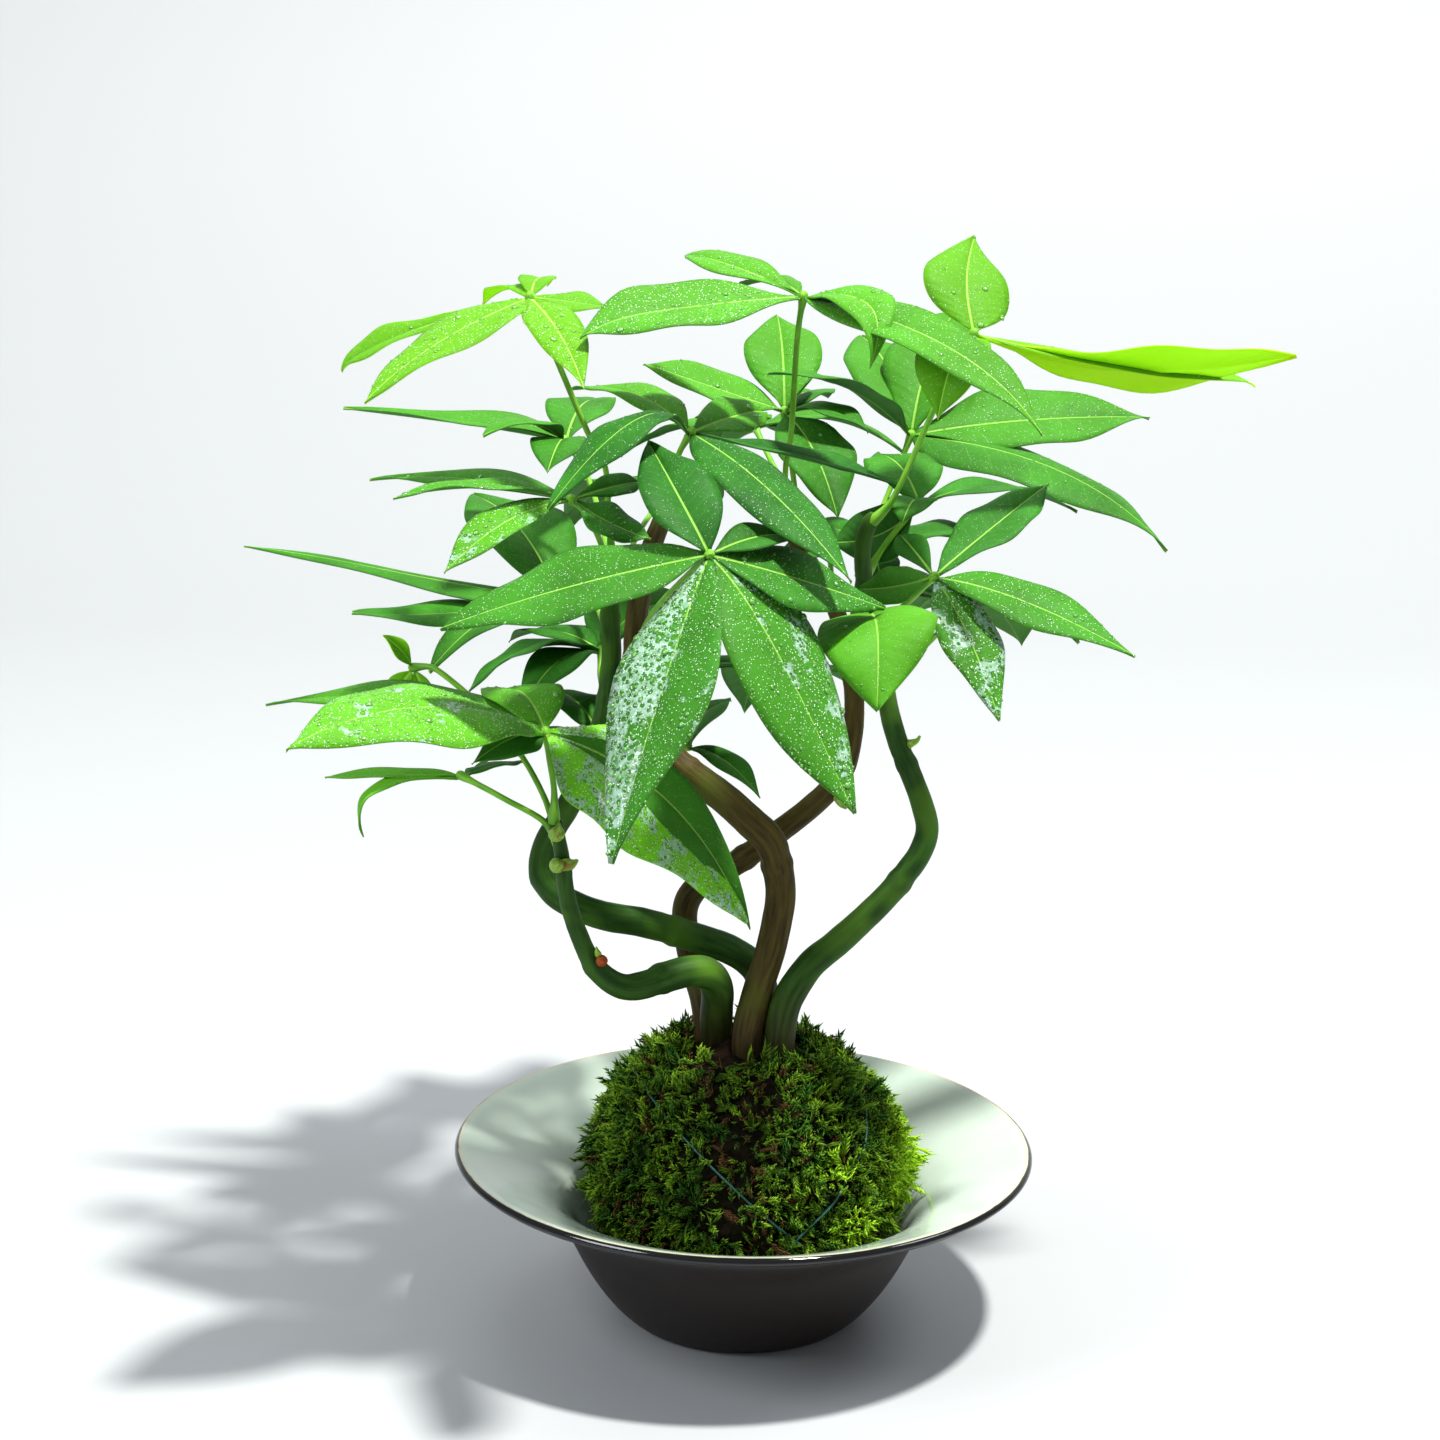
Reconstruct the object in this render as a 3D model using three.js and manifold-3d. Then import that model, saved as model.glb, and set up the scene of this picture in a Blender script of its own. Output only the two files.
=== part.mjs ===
// Moss ball plant: a money tree whose root ball is wrapped in moss and stands in a shallow bowl.
// Millimetres, +Z up. The origin is the centre of the bowl's foot, on the surface it stands on.
import * as THREE from "three";
import { mergeVertices } from "three/addons/utils/BufferGeometryUtils.js";
import Module from "manifold-3d";

const wasm = await Module();
wasm.setup();

// Bowl
const bowlRimRadius = 73;
const bowlHeight = 45;
const bowlFootRadius = 28;
const bowlFloor = 5;
const bowlSegments = 30;

// Root ball and moss
const ballCentre = 39.5;
const mossRadius = 40.5;
const mossHalfHeight = 38.5;
const mossThickness = 3.9;
const crownRadius = 17;
const ballSegments = 30;
const clearance = 0.3;

// Thread wound round the moss
const threadRadius = 0.5;
const threadLift = 1.3;
const threadTilt = 44;
const threadSteps = 20;
const threadTurns = [-60, 100];

// Leaves
const bladeThickness = 0.7;
const bladeFold = 0.1;
const hubRadius = 1.5;
const petioleRadius = 0.8;

// Half width of a leaflet along its length, as shares of its widest half width
const leafletOutline = [
  [0, 0.06],
  [0.2, 0.55],
  [0.45, 0.98],
  [0.68, 0.83],
  [0.87, 0.38],
  [1, 0.05],
];

// A short leaflet has fewer steps along its outline
const shortLeaflet = 42;
const shortOutline = [
  [0, 0.06],
  [0.25, 0.5],
  [0.55, 1],
  [0.82, 0.56],
  [1, 0.06],
];

const glaze = new THREE.MeshStandardMaterial({ color: "#a3b1a6", roughness: 0.15, metalness: 0 });
const soil = new THREE.MeshStandardMaterial({ color: "#3a2a1d", roughness: 0.95, metalness: 0 });
const moss = new THREE.MeshStandardMaterial({ color: "#4f7d1c", roughness: 0.9, metalness: 0 });
const thread = new THREE.MeshStandardMaterial({ color: "#2f6f63", roughness: 0.5, metalness: 0 });
const greenBark = new THREE.MeshStandardMaterial({ color: "#2f5a2a", roughness: 0.5, metalness: 0 });
const brownBark = new THREE.MeshStandardMaterial({ color: "#5b4a33", roughness: 0.6, metalness: 0 });
const grownLeaf = new THREE.MeshStandardMaterial({ color: "#3f9a34", roughness: 0.35, metalness: 0 });
const youngLeaf = new THREE.MeshStandardMaterial({ color: "#8fdd2a", roughness: 0.35, metalness: 0 });

const radians = THREE.MathUtils.degToRad;

// Stems, each by the points of its middle line and its radii at even steps of its length
const stems = [
  {
    name: "stem_front",
    bark: greenBark,
    points: [
      [-7.5, 1.5, 60.5], [-7.5, 1, 76.5], [-7.5, -4, 87.5], [-10, -8, 92.5], [-14, -11, 94],
      [-20, -14, 93.5], [-25, -17, 92.5], [-30, -19, 92.5], [-34.5, -20, 95], [-38, -21, 99.5],
      [-41, -22, 106.5], [-43.5, -23, 114.5], [-44.5, -24, 120.5], [-45, -25, 126.5],
      [-46, -26, 132.5], [-47, -27, 138.5],
    ],
    radii: [4, 4.1, 4.1, 3.4, 2.3, 2, 1.5],
  },
  {
    name: "stem_loop",
    bark: greenBark,
    points: [
      [5, 6.5, 60.5], [5, 7.5, 77.5], [2.5, 10, 87.5], [-4, 10.5, 92.5], [-11.5, 9.5, 95.5],
      [-19, 7.5, 98.5], [-27.5, 5, 101.5], [-35, 2, 103.5], [-42, 0, 106.5], [-48, 0, 110],
      [-51.5, 2, 115], [-51, 3, 120.5], [-48.5, 3, 126], [-45, 3, 132], [-40, 4, 142.5],
      [-36.5, 7, 154.5], [-35, 9, 167.5], [-35.5, 9, 181.5], [-35, 8, 192.5],
    ],
    radii: [3.8, 3.8, 3.8, 3.6, 3.2, 2.8, 2.5, 2.2],
  },
  {
    name: "stem_middle",
    bark: brownBark,
    points: [
      [0.5, -6.5, 60.5], [0.5, -5.5, 77.5], [3, -3, 87.5], [5.5, -1, 95.5], [7, 0, 102.5],
      [8, 1, 110.5], [7, 1, 118], [5, 0, 124.5], [0, 0, 129.5], [-6, 0, 135], [-12, 0, 139.5],
      [-17.5, 1, 143.5], [-23.5, 4, 149.5], [-27.5, 6, 158.5], [-29, 4, 171.5], [-28, 0, 185.5],
      [-25, -4, 199.5], [-21, -8, 210.5],
    ],
    radii: [3.8, 3.8, 3.8, 4, 3.6, 3.1, 2.6, 2.2],
  },
  {
    name: "stem_right",
    bark: greenBark,
    points: [
      [8.5, -6, 60.5], [8.5, -6, 77.5], [10, -5, 84.5], [13, -4, 90], [16.5, -3, 94.5],
      [22, -2, 99], [28, -1, 104.5], [33.5, 0, 110], [38.5, 1, 116], [42.5, 2, 122], [44, 3, 127.5],
      [42.5, 3, 134], [39.5, 3, 141.5], [36.5, 3, 148.5], [34.5, 3, 154.5], [33, 3, 160.5],
      [31, 4, 170.5], [28.5, 4, 180.5], [26.5, 4, 190.5], [26, 2, 199.5], [28, 0, 207.5],
    ],
    radii: [4, 3.9, 3.4, 3, 2.7, 2.4, 2.2, 2],
  },
  {
    name: "stem_rear",
    bark: brownBark,
    points: [
      [-10, 8, 60.5], [-10.5, 8.5, 77.5], [-14, 14, 88.5], [-16, 18, 97.5], [-15.5, 19.5, 102],
      [-13, 20, 106], [-8.5, 20, 109], [-4, 20, 112], [1.5, 20, 116], [8, 20, 121.5],
      [14, 20, 126.5], [19.5, 21, 131.5], [24, 22, 138.5], [26, 25, 152], [24, 27, 167],
      [19, 26, 181.5], [12, 22, 193], [7.5, 18, 201.5],
    ],
    radii: [3.2, 3.3, 3.3, 3.1, 2.8, 2.5, 2.2, 2],
  },
];

// A leaflet's bearing from +X and its rise above the level, in degrees, its length and width,
// how far its middle arches up from the straight line, and its roll about that line in degrees
function leaflet(bearing, rise, length, width, arch, roll) {
  return { bearing, rise, length, width, arch, roll };
}

// Leaves, each by the points of its petiole from the middle of its stem, and its hub
const leaves = [
  {
    name: "leaf_front",
    stem: "stem_middle",
    petiole: [[-29, 4, 172.5], [-24, -18, 186.5], [-15, -42, 201.5]],
    hub: [-11, -52, 207.5],
    leaflets: [
      leaflet(-116, -53, 76, 31, 5.4, 21),
      leaflet(-26, -56, 67, 31, 3.3, 13),
      leaflet(-182, -17, 64, 26, 1.4, -24),
      leaflet(118, 33, 38, 18, 2.5, -13),
      leaflet(20, -19, 46, 20, 0.7, 33),
      leaflet(43, 2, 27, 10, 2.1, 22),
    ],
  },
  {
    name: "leaf_crown",
    stem: "stem_rear",
    petiole: [[8, 18, 200.5], [7, 14, 215.5], [8, 12, 223.5], [9, 3, 250.5]],
    hub: [10, 0, 259.5],
    leaflets: [
      leaflet(-157, -5, 59, 22, 0.9, -20),
      leaflet(128, 6, 47, 14, 2.2, -8),
      leaflet(-38, -20, 73, 20, 6.5, 11),
      leaflet(-58, -10, 36, 14, 3, 10),
      leaflet(120, -4, 32, 10, 3, 0),
    ],
  },
  {
    name: "leaf_upper_left",
    stem: "stem_loop",
    young: true,
    petiole: [[-35, 8, 192.5], [-36, 8, 206.5], [-37, 8, 216.5], [-41, 7, 224.5], [-49, 5, 243.5]],
    hub: [-55, 5, 257.5],
    leaflets: [
      leaflet(-143, -25, 51, 19, 2.3, -4),
      leaflet(167, -23, 52, 13, 2.8, -23),
      leaflet(-69, -21, 44, 13, 2, 6),
      leaflet(-1, -6, 19, 12, 0, 12),
      leaflet(84, -1, 26, 9, 3, 0),
      leaflet(117, -10, 30, 9, 3, 0),
    ],
  },
  {
    name: "leaf_top_right",
    stem: "stem_right",
    young: true,
    petiole: [[28, 0, 205.5], [32, -2, 210.5], [41, -5, 232.5], [46, -7, 244.5]],
    hub: [50, -8, 252.5],
    leaflets: [
      leaflet(87, 37, 33, 22, 1.8, 19),
      leaflet(10, -4, 80, 21, -4, -38),
      leaflet(21, -7, 82, 12, -3.2, 12),
      leaflet(-114, -38, 28, 18, 5, 0),
    ],
  },
  {
    name: "leaf_upper_middle",
    stem: "stem_middle",
    petiole: [[-21, -8, 209.5], [-19, -11, 222.5]],
    hub: [-16, -12, 228.5],
    leaflets: [
      leaflet(-137, -17, 46, 16, 11, 1),
      leaflet(133, 6, 44, 16, 4, 0),
      leaflet(66, -2, 44, 12, 2.7, 33),
      leaflet(23, -16, 57, 12, 0.9, 10),
      leaflet(-47, -26, 61, 21, 3.3, 1),
    ],
  },
  {
    name: "leaf_left_middle",
    stem: "stem_loop",
    petiole: [[-35.5, 9, 183.5], [-37, 0, 197.5], [-41, -10, 208.5]],
    hub: [-44, -15, 212.5],
    leaflets: [
      leaflet(-143, -21, 38, 13, 3.1, -15),
      leaflet(183, 0, 42, 15, 2.9, 2),
      leaflet(144, -3, 64, 13, 2.6, -9),
      leaflet(55, 0, 28, 7, 1.9, 37),
      leaflet(-6, -25, 21, 17, -0.8, 14),
    ],
  },
  {
    name: "leaf_right",
    stem: "stem_right",
    petiole: [[29, 4, 178.5], [36, -10, 187.5]],
    hub: [42, -20, 196.5],
    leaflets: [
      leaflet(-17, -17, 51, 18, 2.3, 18),
      leaflet(-58, -46, 40, 16, 2.8, 4),
      leaflet(48, 21, 47, 17, 0.8, 3),
      leaflet(107, 12, 25, 8, 1.7, -22),
      leaflet(166, -13, 19, 12, -0.8, -39),
    ],
  },
  {
    name: "leaf_lower_left",
    stem: "stem_front",
    petiole: [[-47, -27, 136.5], [-47, -29, 145.5], [-48, -30, 152.5]],
    hub: [-49, -30, 159.5],
    leaflets: [
      leaflet(-142, 7, 72, 32, 7, -12),
      leaflet(160, -1, 74, 17, 5, -6),
      leaflet(116, -1, 37, 19, 6, -2),
      leaflet(0, -44, 67, 36, 4.9, 24),
      leaflet(5, -45, 70, 15, 8, 50),
      leaflet(189, -23, 19, 14, 1.8, -33),
    ],
  },
  {
    name: "leaf_heart",
    stem: "stem_right",
    petiole: [[31, 4, 170.5], [28, -9.5, 180]],
    hub: [26, -23, 187.2],
    leaflets: [
      leaflet(-87, -24, 36, 28, 9.5, 13),
      leaflet(139, -7, 22, 13, 4, 0),
      leaflet(128, -4, 38, 15, 4, 0),
    ],
  },
  {
    name: "leaf_back_middle",
    stem: "stem_rear",
    petiole: [[12, 22, 193], [10, 38, 205.5]],
    hub: [7, 45, 224.5],
    leaflets: [
      leaflet(94, 37, 34, 20, 4, 0),
      leaflet(-172, 19, 38, 19, 0, -20),
      leaflet(-28, -7, 24, 14, 3, 0),
      leaflet(72, -3, 39, 15, 3, 0),
      leaflet(-62, -38, 36, 21, 3, 0),
    ],
  },
  {
    name: "leaf_back_right",
    stem: "stem_rear",
    petiole: [[24, 27, 167.5], [28, 46, 186.5], [36, 58, 205.5]],
    hub: [40, 60, 216.5],
    leaflets: [
      leaflet(13, 3, 65, 26, 2, 26),
      leaflet(-25, -18, 74, 29, 6.8, 3),
      leaflet(-139, 22, 54, 17, 5, 0),
      leaflet(105, 23, 49, 24, 5, 0),
      leaflet(70, 35, 49, 23, 5, 0),
    ],
  },
  {
    name: "leaf_right_inner",
    stem: "stem_right",
    petiole: [[26.5, 4, 190.5], [32, 9, 198.5]],
    hub: [40, 13, 207.5],
    leaflets: [
      leaflet(110, 17, 27, 20, 3, 0),
      leaflet(30, -7, 48, 16, 5, 0),
      leaflet(-105, -3, 20, 12, 3, 0),
      leaflet(176, -25, 24, 18, -3, -41),
    ],
  },
  {
    name: "leaf_left_back",
    stem: "stem_loop",
    petiole: [[-35.5, 9, 174.5], [-43, 36, 179.5]],
    hub: [-50, 50, 173.5],
    leaflets: [
      leaflet(174, 9, 85, 14, -0.8, -1),
      leaflet(-164, -1, 54, 18, -1.6, -6),
      leaflet(119, 19, 56, 28, 6, 0),
      leaflet(-138, -17, 44, 18, 6, 0),
      leaflet(78, 2, 43, 20, 5, 0),
    ],
  },
  {
    name: "leaf_left_high",
    stem: "stem_loop",
    petiole: [[-35, 8, 188.5], [-39, 38, 197.5], [-44, 56, 206.5]],
    hub: [-49, 60, 213.5],
    leaflets: [
      leaflet(173, 6, 59, 15, 0.5, -4),
      leaflet(-132, 9, 30, 14, 4, 0),
      leaflet(-96, -6, 30, 14, 3, 0),
      leaflet(81, 4, 45, 18, 4, 0),
    ],
  },
  {
    name: "young_shoot",
    stem: "stem_front",
    young: true,
    petiole: [
      [-46, -26, 132.5], [-50, -21, 141.5], [-57, -12, 150.5], [-66, -9, 160], [-73, -8, 166],
      [-78, -6, 168.8],
    ],
    hub: [-82.5, -4, 168.2],
    leaflets: [
      leaflet(-150, 48, 12, 6, 0.5, -50),
      leaflet(-145, -56, 14, 7, 1, -40),
      leaflet(-50, -64, 12, 5, 1, 30),
    ],
  },
  {
    name: "leaf_small_left",
    stem: "stem_front",
    petiole: [[-45.5, -25.5, 129.5], [-49, -25, 135.5], [-59, -22, 140.5]],
    hub: [-70, -16, 144.5],
    leaflets: [
      leaflet(167, -5, 35, 10, 0.5, 0),
      leaflet(-171, -32, 28, 7, 8.6, -3),
      leaflet(54, -4, 25, 11, 0.7, -12),
    ],
  },
  {
    name: "leaf_inner_left",
    stem: "stem_loop",
    petiole: [[-36, 8, 158.5], [-38, 18, 161.5]],
    hub: [-38, 24, 166.5],
    leaflets: [
      leaflet(-157, -12, 36, 18, 6, 10),
      leaflet(132, -7, 38, 15, 4, 0),
      leaflet(-130, -20, 31, 15, 5, 0),
      leaflet(14, 25, 27, 22, 5, 10),
      leaflet(80, 0, 47, 18, 4, 0),
    ],
  },
  {
    name: "leaf_loop_low",
    stem: "stem_loop",
    petiole: [[-43, 3, 136], [-40, 10, 142.5]],
    hub: [-38, 16, 146.5],
    leaflets: [
      leaflet(170, -20, 36, 13, 4, 0),
      leaflet(66, 6, 34, 17, 4, 0),
      leaflet(118, 12, 26, 14, 3, 0),
    ],
  },
  {
    name: "leaf_inner_low",
    stem: "stem_middle",
    petiole: [[-25, 4.5, 151.5], [-21, 14, 146.5]],
    hub: [-16, 22, 142.5],
    leaflets: [
      leaflet(-44, -17, 27, 10, 3, 0),
      leaflet(-53, 42, 24, 15, 3, 0),
      leaflet(120, 4, 25, 16, 4, 0),
    ],
  },
  {
    name: "leaf_inner_middle",
    stem: "stem_rear",
    petiole: [[23.5, 26.5, 168.5], [30, 32, 178.5]],
    hub: [30, 34, 190.5],
    leaflets: [
      leaflet(-150, -4, 32, 17, 4, 0),
      leaflet(140, 8, 26, 16, 3, 0),
      leaflet(-86, -18, 24, 11, 4, 0),
      leaflet(20, 6, 34, 17, 3, 0),
    ],
  },
  {
    name: "leaf_rear_left",
    stem: "stem_loop",
    petiole: [[-35.5, 9, 181.5], [-30, 46, 191.5], [-25, 70, 195.5]],
    hub: [-22, 82, 197.5],
    leaflets: [
      leaflet(150, -30, 42, 18, 6, 0),
      leaflet(125, -18, 56, 23, 5, 0),
      leaflet(85, -24, 54, 22, 5, 0),
      leaflet(45, -14, 48, 20, 4, 0),
      leaflet(-30, 6, 28, 14, 3, 0),
    ],
  },
  {
    name: "leaf_rear_middle",
    stem: "stem_rear",
    petiole: [[20, 26, 178.5], [18, 56, 190.5], [6, 80, 202.5]],
    hub: [0, 92, 212.5],
    leaflets: [
      leaflet(150, -16, 44, 19, 4, 0),
      leaflet(105, -22, 50, 22, 6, 0),
      leaflet(60, -22, 52, 22, 5, 0),
      leaflet(15, -12, 44, 19, 6, 0),
    ],
  },
  {
    name: "leaf_rear_right",
    stem: "stem_rear",
    petiole: [[25.5, 26, 154.5], [40, 46, 159.5], [50, 60, 165.5]],
    hub: [56, 66, 170.5],
    leaflets: [
      leaflet(105, -16, 44, 19, 4, 0),
      leaflet(65, -24, 50, 22, 5, 0),
      leaflet(25, -20, 38, 18, 4, 0),
      leaflet(155, 8, 32, 15, 3, 0),
    ],
  },
  {
    name: "leaf_rear_low",
    stem: "stem_rear",
    petiole: [[21, 21.5, 133.5], [20, 44, 138.5], [14, 60, 144.5]],
    hub: [10, 68, 148.5],
    leaflets: [
      leaflet(150, -12, 44, 19, 6, 0),
      leaflet(105, -24, 48, 21, 8, 0),
      leaflet(55, -20, 46, 20, 7, 0),
      leaflet(-165, 6, 32, 15, 4, 0),
    ],
  },
];

function toSolid(geometry) {
  const bare = geometry.clone();
  bare.deleteAttribute("normal");
  bare.deleteAttribute("uv");
  const merged = mergeVertices(bare, 1e-4);
  const vertProperties = new Float32Array(merged.attributes.position.array);
  const triVerts = new Uint32Array(merged.index.array);
  return new wasm.Manifold(new wasm.Mesh({ numProp: 3, vertProperties, triVerts }));
}

function toGeometry(solid) {
  const mesh = solid.getMesh();
  const geometry = new THREE.BufferGeometry();
  geometry.setAttribute("position", new THREE.BufferAttribute(mesh.vertProperties.slice(), 3));
  geometry.setIndex(new THREE.BufferAttribute(mesh.triVerts.slice(), 1));
  geometry.computeVertexNormals();
  return geometry;
}

function joined(geometries) {
  return geometries.map(toSolid).reduce((whole, piece) => whole.add(piece));
}

function curveThrough(points) {
  const vectors = points.map((point) => new THREE.Vector3(...point));
  return new THREE.CatmullRomCurve3(vectors, false, "centripetal");
}

function valueAlong(values, share) {
  const place = share * (values.length - 1);
  const step = Math.min(Math.floor(place), values.length - 2);
  return THREE.MathUtils.lerp(values[step], values[step + 1], place - step);
}

// A round rod bent along a curve, with its radius given along its length
function taperedRod(curve, radii, sides, steps, grown = 0) {
  const rod = new THREE.CylinderGeometry(1, 1, 1, sides, steps);
  const frames = curve.computeFrenetFrames(steps, false);
  const position = rod.attributes.position;
  for (let i = 0; i < position.count; i += 1) {
    const share = position.getY(i) + 0.5;
    const ring = Math.round(share * steps);
    const radius = valueAlong(radii, share) + grown;
    const point = curve.getPointAt(share);
    point.addScaledVector(frames.normals[ring], position.getX(i) * radius);
    point.addScaledVector(frames.binormals[ring], -position.getZ(i) * radius);
    position.setXYZ(i, point.x, point.y, point.z);
  }
  return rod;
}

// The directions of a leaflet: along it, across it, and out of its upper face
function leafletDirections({ bearing, rise, roll }) {
  const turn = radians(bearing);
  const lift = radians(rise);
  const ahead = new THREE.Vector3(
    Math.cos(turn) * Math.cos(lift),
    Math.sin(turn) * Math.cos(lift),
    Math.sin(lift),
  );
  const across = new THREE.Vector3(-Math.sin(turn), Math.cos(turn), 0);
  const up = ahead.clone().cross(across);
  across.applyAxisAngle(ahead, radians(roll));
  return { ahead, across, up };
}

// Each row holds the left edge, the rib and the right edge, with an upper and a lower corner each
function bladeCorners(rib, across, outline, width) {
  const positions = [];
  for (const [share, halfShare] of outline) {
    const point = rib.getPoint(share);
    const face = rib.getTangent(share).cross(across).normalize();
    const half = (width / 2) * halfShare;
    for (const side of [-1, 0, 1]) {
      const middle = point.clone().addScaledVector(across, side * half);
      middle.addScaledVector(face, Math.abs(side) * half * bladeFold);
      for (const layer of [0.5, -0.5]) {
        const corner = middle.clone().addScaledVector(face, layer * bladeThickness);
        positions.push(corner.x, corner.y, corner.z);
      }
    }
  }
  return positions;
}

// Both faces are split along the same diagonals, so the blade keeps its thickness
function bladeTriangles(rows) {
  const triangles = [];
  const quad = (a, b, c, d) => triangles.push(a, b, c, a, c, d);
  const corner = (row, column, layer) => row * 6 + column * 2 + layer;
  const last = rows - 1;
  for (let row = 0; row < last; row += 1) {
    const next = row + 1;
    for (const column of [0, 1]) {
      const a = corner(row, column, 0);
      const b = corner(next, column, 0);
      const c = corner(next, column + 1, 0);
      const d = corner(row, column + 1, 0);
      quad(a, b, c, d);
      quad(a + 1, d + 1, c + 1, b + 1);
    }
    quad(corner(row, 0, 0), corner(row, 0, 1), corner(next, 0, 1), corner(next, 0, 0));
    quad(corner(row, 2, 1), corner(row, 2, 0), corner(next, 2, 0), corner(next, 2, 1));
  }
  for (const column of [0, 1]) {
    const beside = column + 1;
    quad(corner(0, column, 1), corner(0, column, 0), corner(0, beside, 0), corner(0, beside, 1));
    const end = [corner(last, column, 0), corner(last, column, 1)];
    quad(...end, corner(last, beside, 1), corner(last, beside, 0));
  }
  return triangles;
}

// A thin blade that arches along its rib and is folded up on both sides of it
function leafletBlade(hub, shape) {
  const { ahead, across, up } = leafletDirections(shape);
  const centre = new THREE.Vector3(...hub);
  const start = centre.clone().addScaledVector(ahead, hubRadius / 2);
  const middle = centre.clone().addScaledVector(ahead, shape.length * 0.45);
  middle.addScaledVector(up, shape.arch * 2);
  const tip = centre.clone().addScaledVector(ahead, shape.length);
  const rib = new THREE.QuadraticBezierCurve3(start, middle, tip);

  const outline = shape.length < shortLeaflet ? shortOutline : leafletOutline;
  const positions = bladeCorners(rib, across, outline, shape.width);
  const blade = new THREE.BufferGeometry();
  blade.setAttribute("position", new THREE.Float32BufferAttribute(positions, 3));
  blade.setIndex(bladeTriangles(outline.length));
  return blade;
}

function stemRod(stem, grown = 0) {
  const curve = curveThrough(stem.points);
  const steps = Math.round(curve.getLength() / 7);
  return taperedRod(curve, stem.radii, 7, steps, grown);
}

function leafGeometry(leaf) {
  const petioleCurve = curveThrough([...leaf.petiole, leaf.hub]);
  const steps = Math.max(3, Math.round(petioleCurve.getLength() / 11));
  const petiole = taperedRod(petioleCurve, [petioleRadius * 1.3, petioleRadius], 4, steps);
  const hub = new THREE.OctahedronGeometry(hubRadius, 0).translate(...leaf.hub);
  const blades = leaf.leaflets.map((shape) => leafletBlade(leaf.hub, shape));
  const grownStem = stemRod(stems.find((stem) => stem.name === leaf.stem), clearance);
  return toGeometry(joined([petiole, hub, ...blades]).subtract(toSolid(grownStem)));
}

// The moss stands out in tufts, with one large tuft on the right
function mossRelief(azimuth, height) {
  const tufts = 0.8 * Math.sin(7 * azimuth + 0.11 * height) * Math.cos(0.24 * height);
  const smallTufts = 0.5 * Math.sin(11 * azimuth - 0.31 * height);
  const rightTuft = 5 * Math.exp(-((azimuth / 0.3) ** 2) - ((height - 42) / 12) ** 2);
  return tufts + smallTufts + rightTuft;
}

// Radius of a round ball, slightly flatter than it is wide, at a height
function ballRadiusAt(height, inset) {
  const share = (height - ballCentre) / (mossHalfHeight - inset);
  return (mossRadius - inset) * Math.sqrt(Math.max(0, 1 - share * share));
}

function ballHeightAt(radius, inset) {
  const share = radius / (mossRadius - inset);
  return ballCentre + (mossHalfHeight - inset) * Math.sqrt(1 - share * share);
}

function ballProfile(inset, bottom, top) {
  const levels = 9;
  const profile = [];
  const lowest = Math.asin((bottom - ballCentre) / (mossHalfHeight - inset));
  const highest = Math.asin((top - ballCentre) / (mossHalfHeight - inset));
  for (let i = 0; i <= levels; i += 1) {
    const angle = THREE.MathUtils.lerp(lowest, highest, i / levels);
    const height = ballCentre + (mossHalfHeight - inset) * Math.sin(angle);
    profile.push(new THREE.Vector2(ballRadiusAt(height, inset), height));
  }
  return profile;
}

function spun(profile, segments) {
  return new THREE.LatheGeometry(profile, segments).rotateX(Math.PI / 2);
}

function bowlGeometry() {
  const profile = [
    [0, 0], [bowlFootRadius, 0], [bowlFootRadius + 1.4, 0.7], [33, 4], [37.4, 9.6], [41, 15.6],
    [47.4, 28], [53, 33], [bowlRimRadius - 1.2, bowlHeight - 2.4], [bowlRimRadius, bowlHeight - 1.2],
    [bowlRimRadius - 0.8, bowlHeight], [bowlRimRadius - 2.6, bowlHeight - 0.3],
    [51.1, 35.6], [44.9, 30], [37.9, 17.4], [34, 11.6],
    [29.6, bowlFloor + 1.9], [22, bowlFloor + 0.2], [0, bowlFloor],
  ];
  return spun(profile.map(([radius, height]) => new THREE.Vector2(radius, height)), bowlSegments);
}

function soilBallSolid(grownStems) {
  const inset = mossThickness + 0.4;
  const flat = bowlFloor + clearance + mossThickness + 0.3;
  const top = ballCentre + mossHalfHeight - inset - 0.6;
  const side = ballProfile(inset, flat, top);
  const profile = [new THREE.Vector2(0, flat), ...side, new THREE.Vector2(0, top)];
  return toSolid(spun(profile, ballSegments)).subtract(grownStems);
}

function mossCoatGeometry() {
  const bottom = bowlFloor + clearance;
  const insideBottom = bottom + mossThickness;
  const outside = ballProfile(0, bottom, ballHeightAt(crownRadius, 0));
  const inside = ballProfile(mossThickness, insideBottom, ballHeightAt(crownRadius, mossThickness));
  const profile = [
    new THREE.Vector2(0, bottom), ...outside,
    ...inside.reverse(), new THREE.Vector2(0, insideBottom),
  ];
  const coat = spun(profile, ballSegments);
  const position = coat.attributes.position;
  for (let i = 0; i < position.count; i += 1) {
    const point = new THREE.Vector3().fromBufferAttribute(position, i);
    const radius = Math.hypot(point.x, point.y);
    const isOutside = radius > ballRadiusAt(point.z, mossThickness / 2) && point.z > bottom + 1;
    if (isOutside && radius > crownRadius + 1) {
      const lift = mossRelief(Math.atan2(point.y, point.x), point.z) / radius;
      position.setXY(i, point.x * (1 + lift), point.y * (1 + lift));
    }
  }
  return coat;
}

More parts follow.
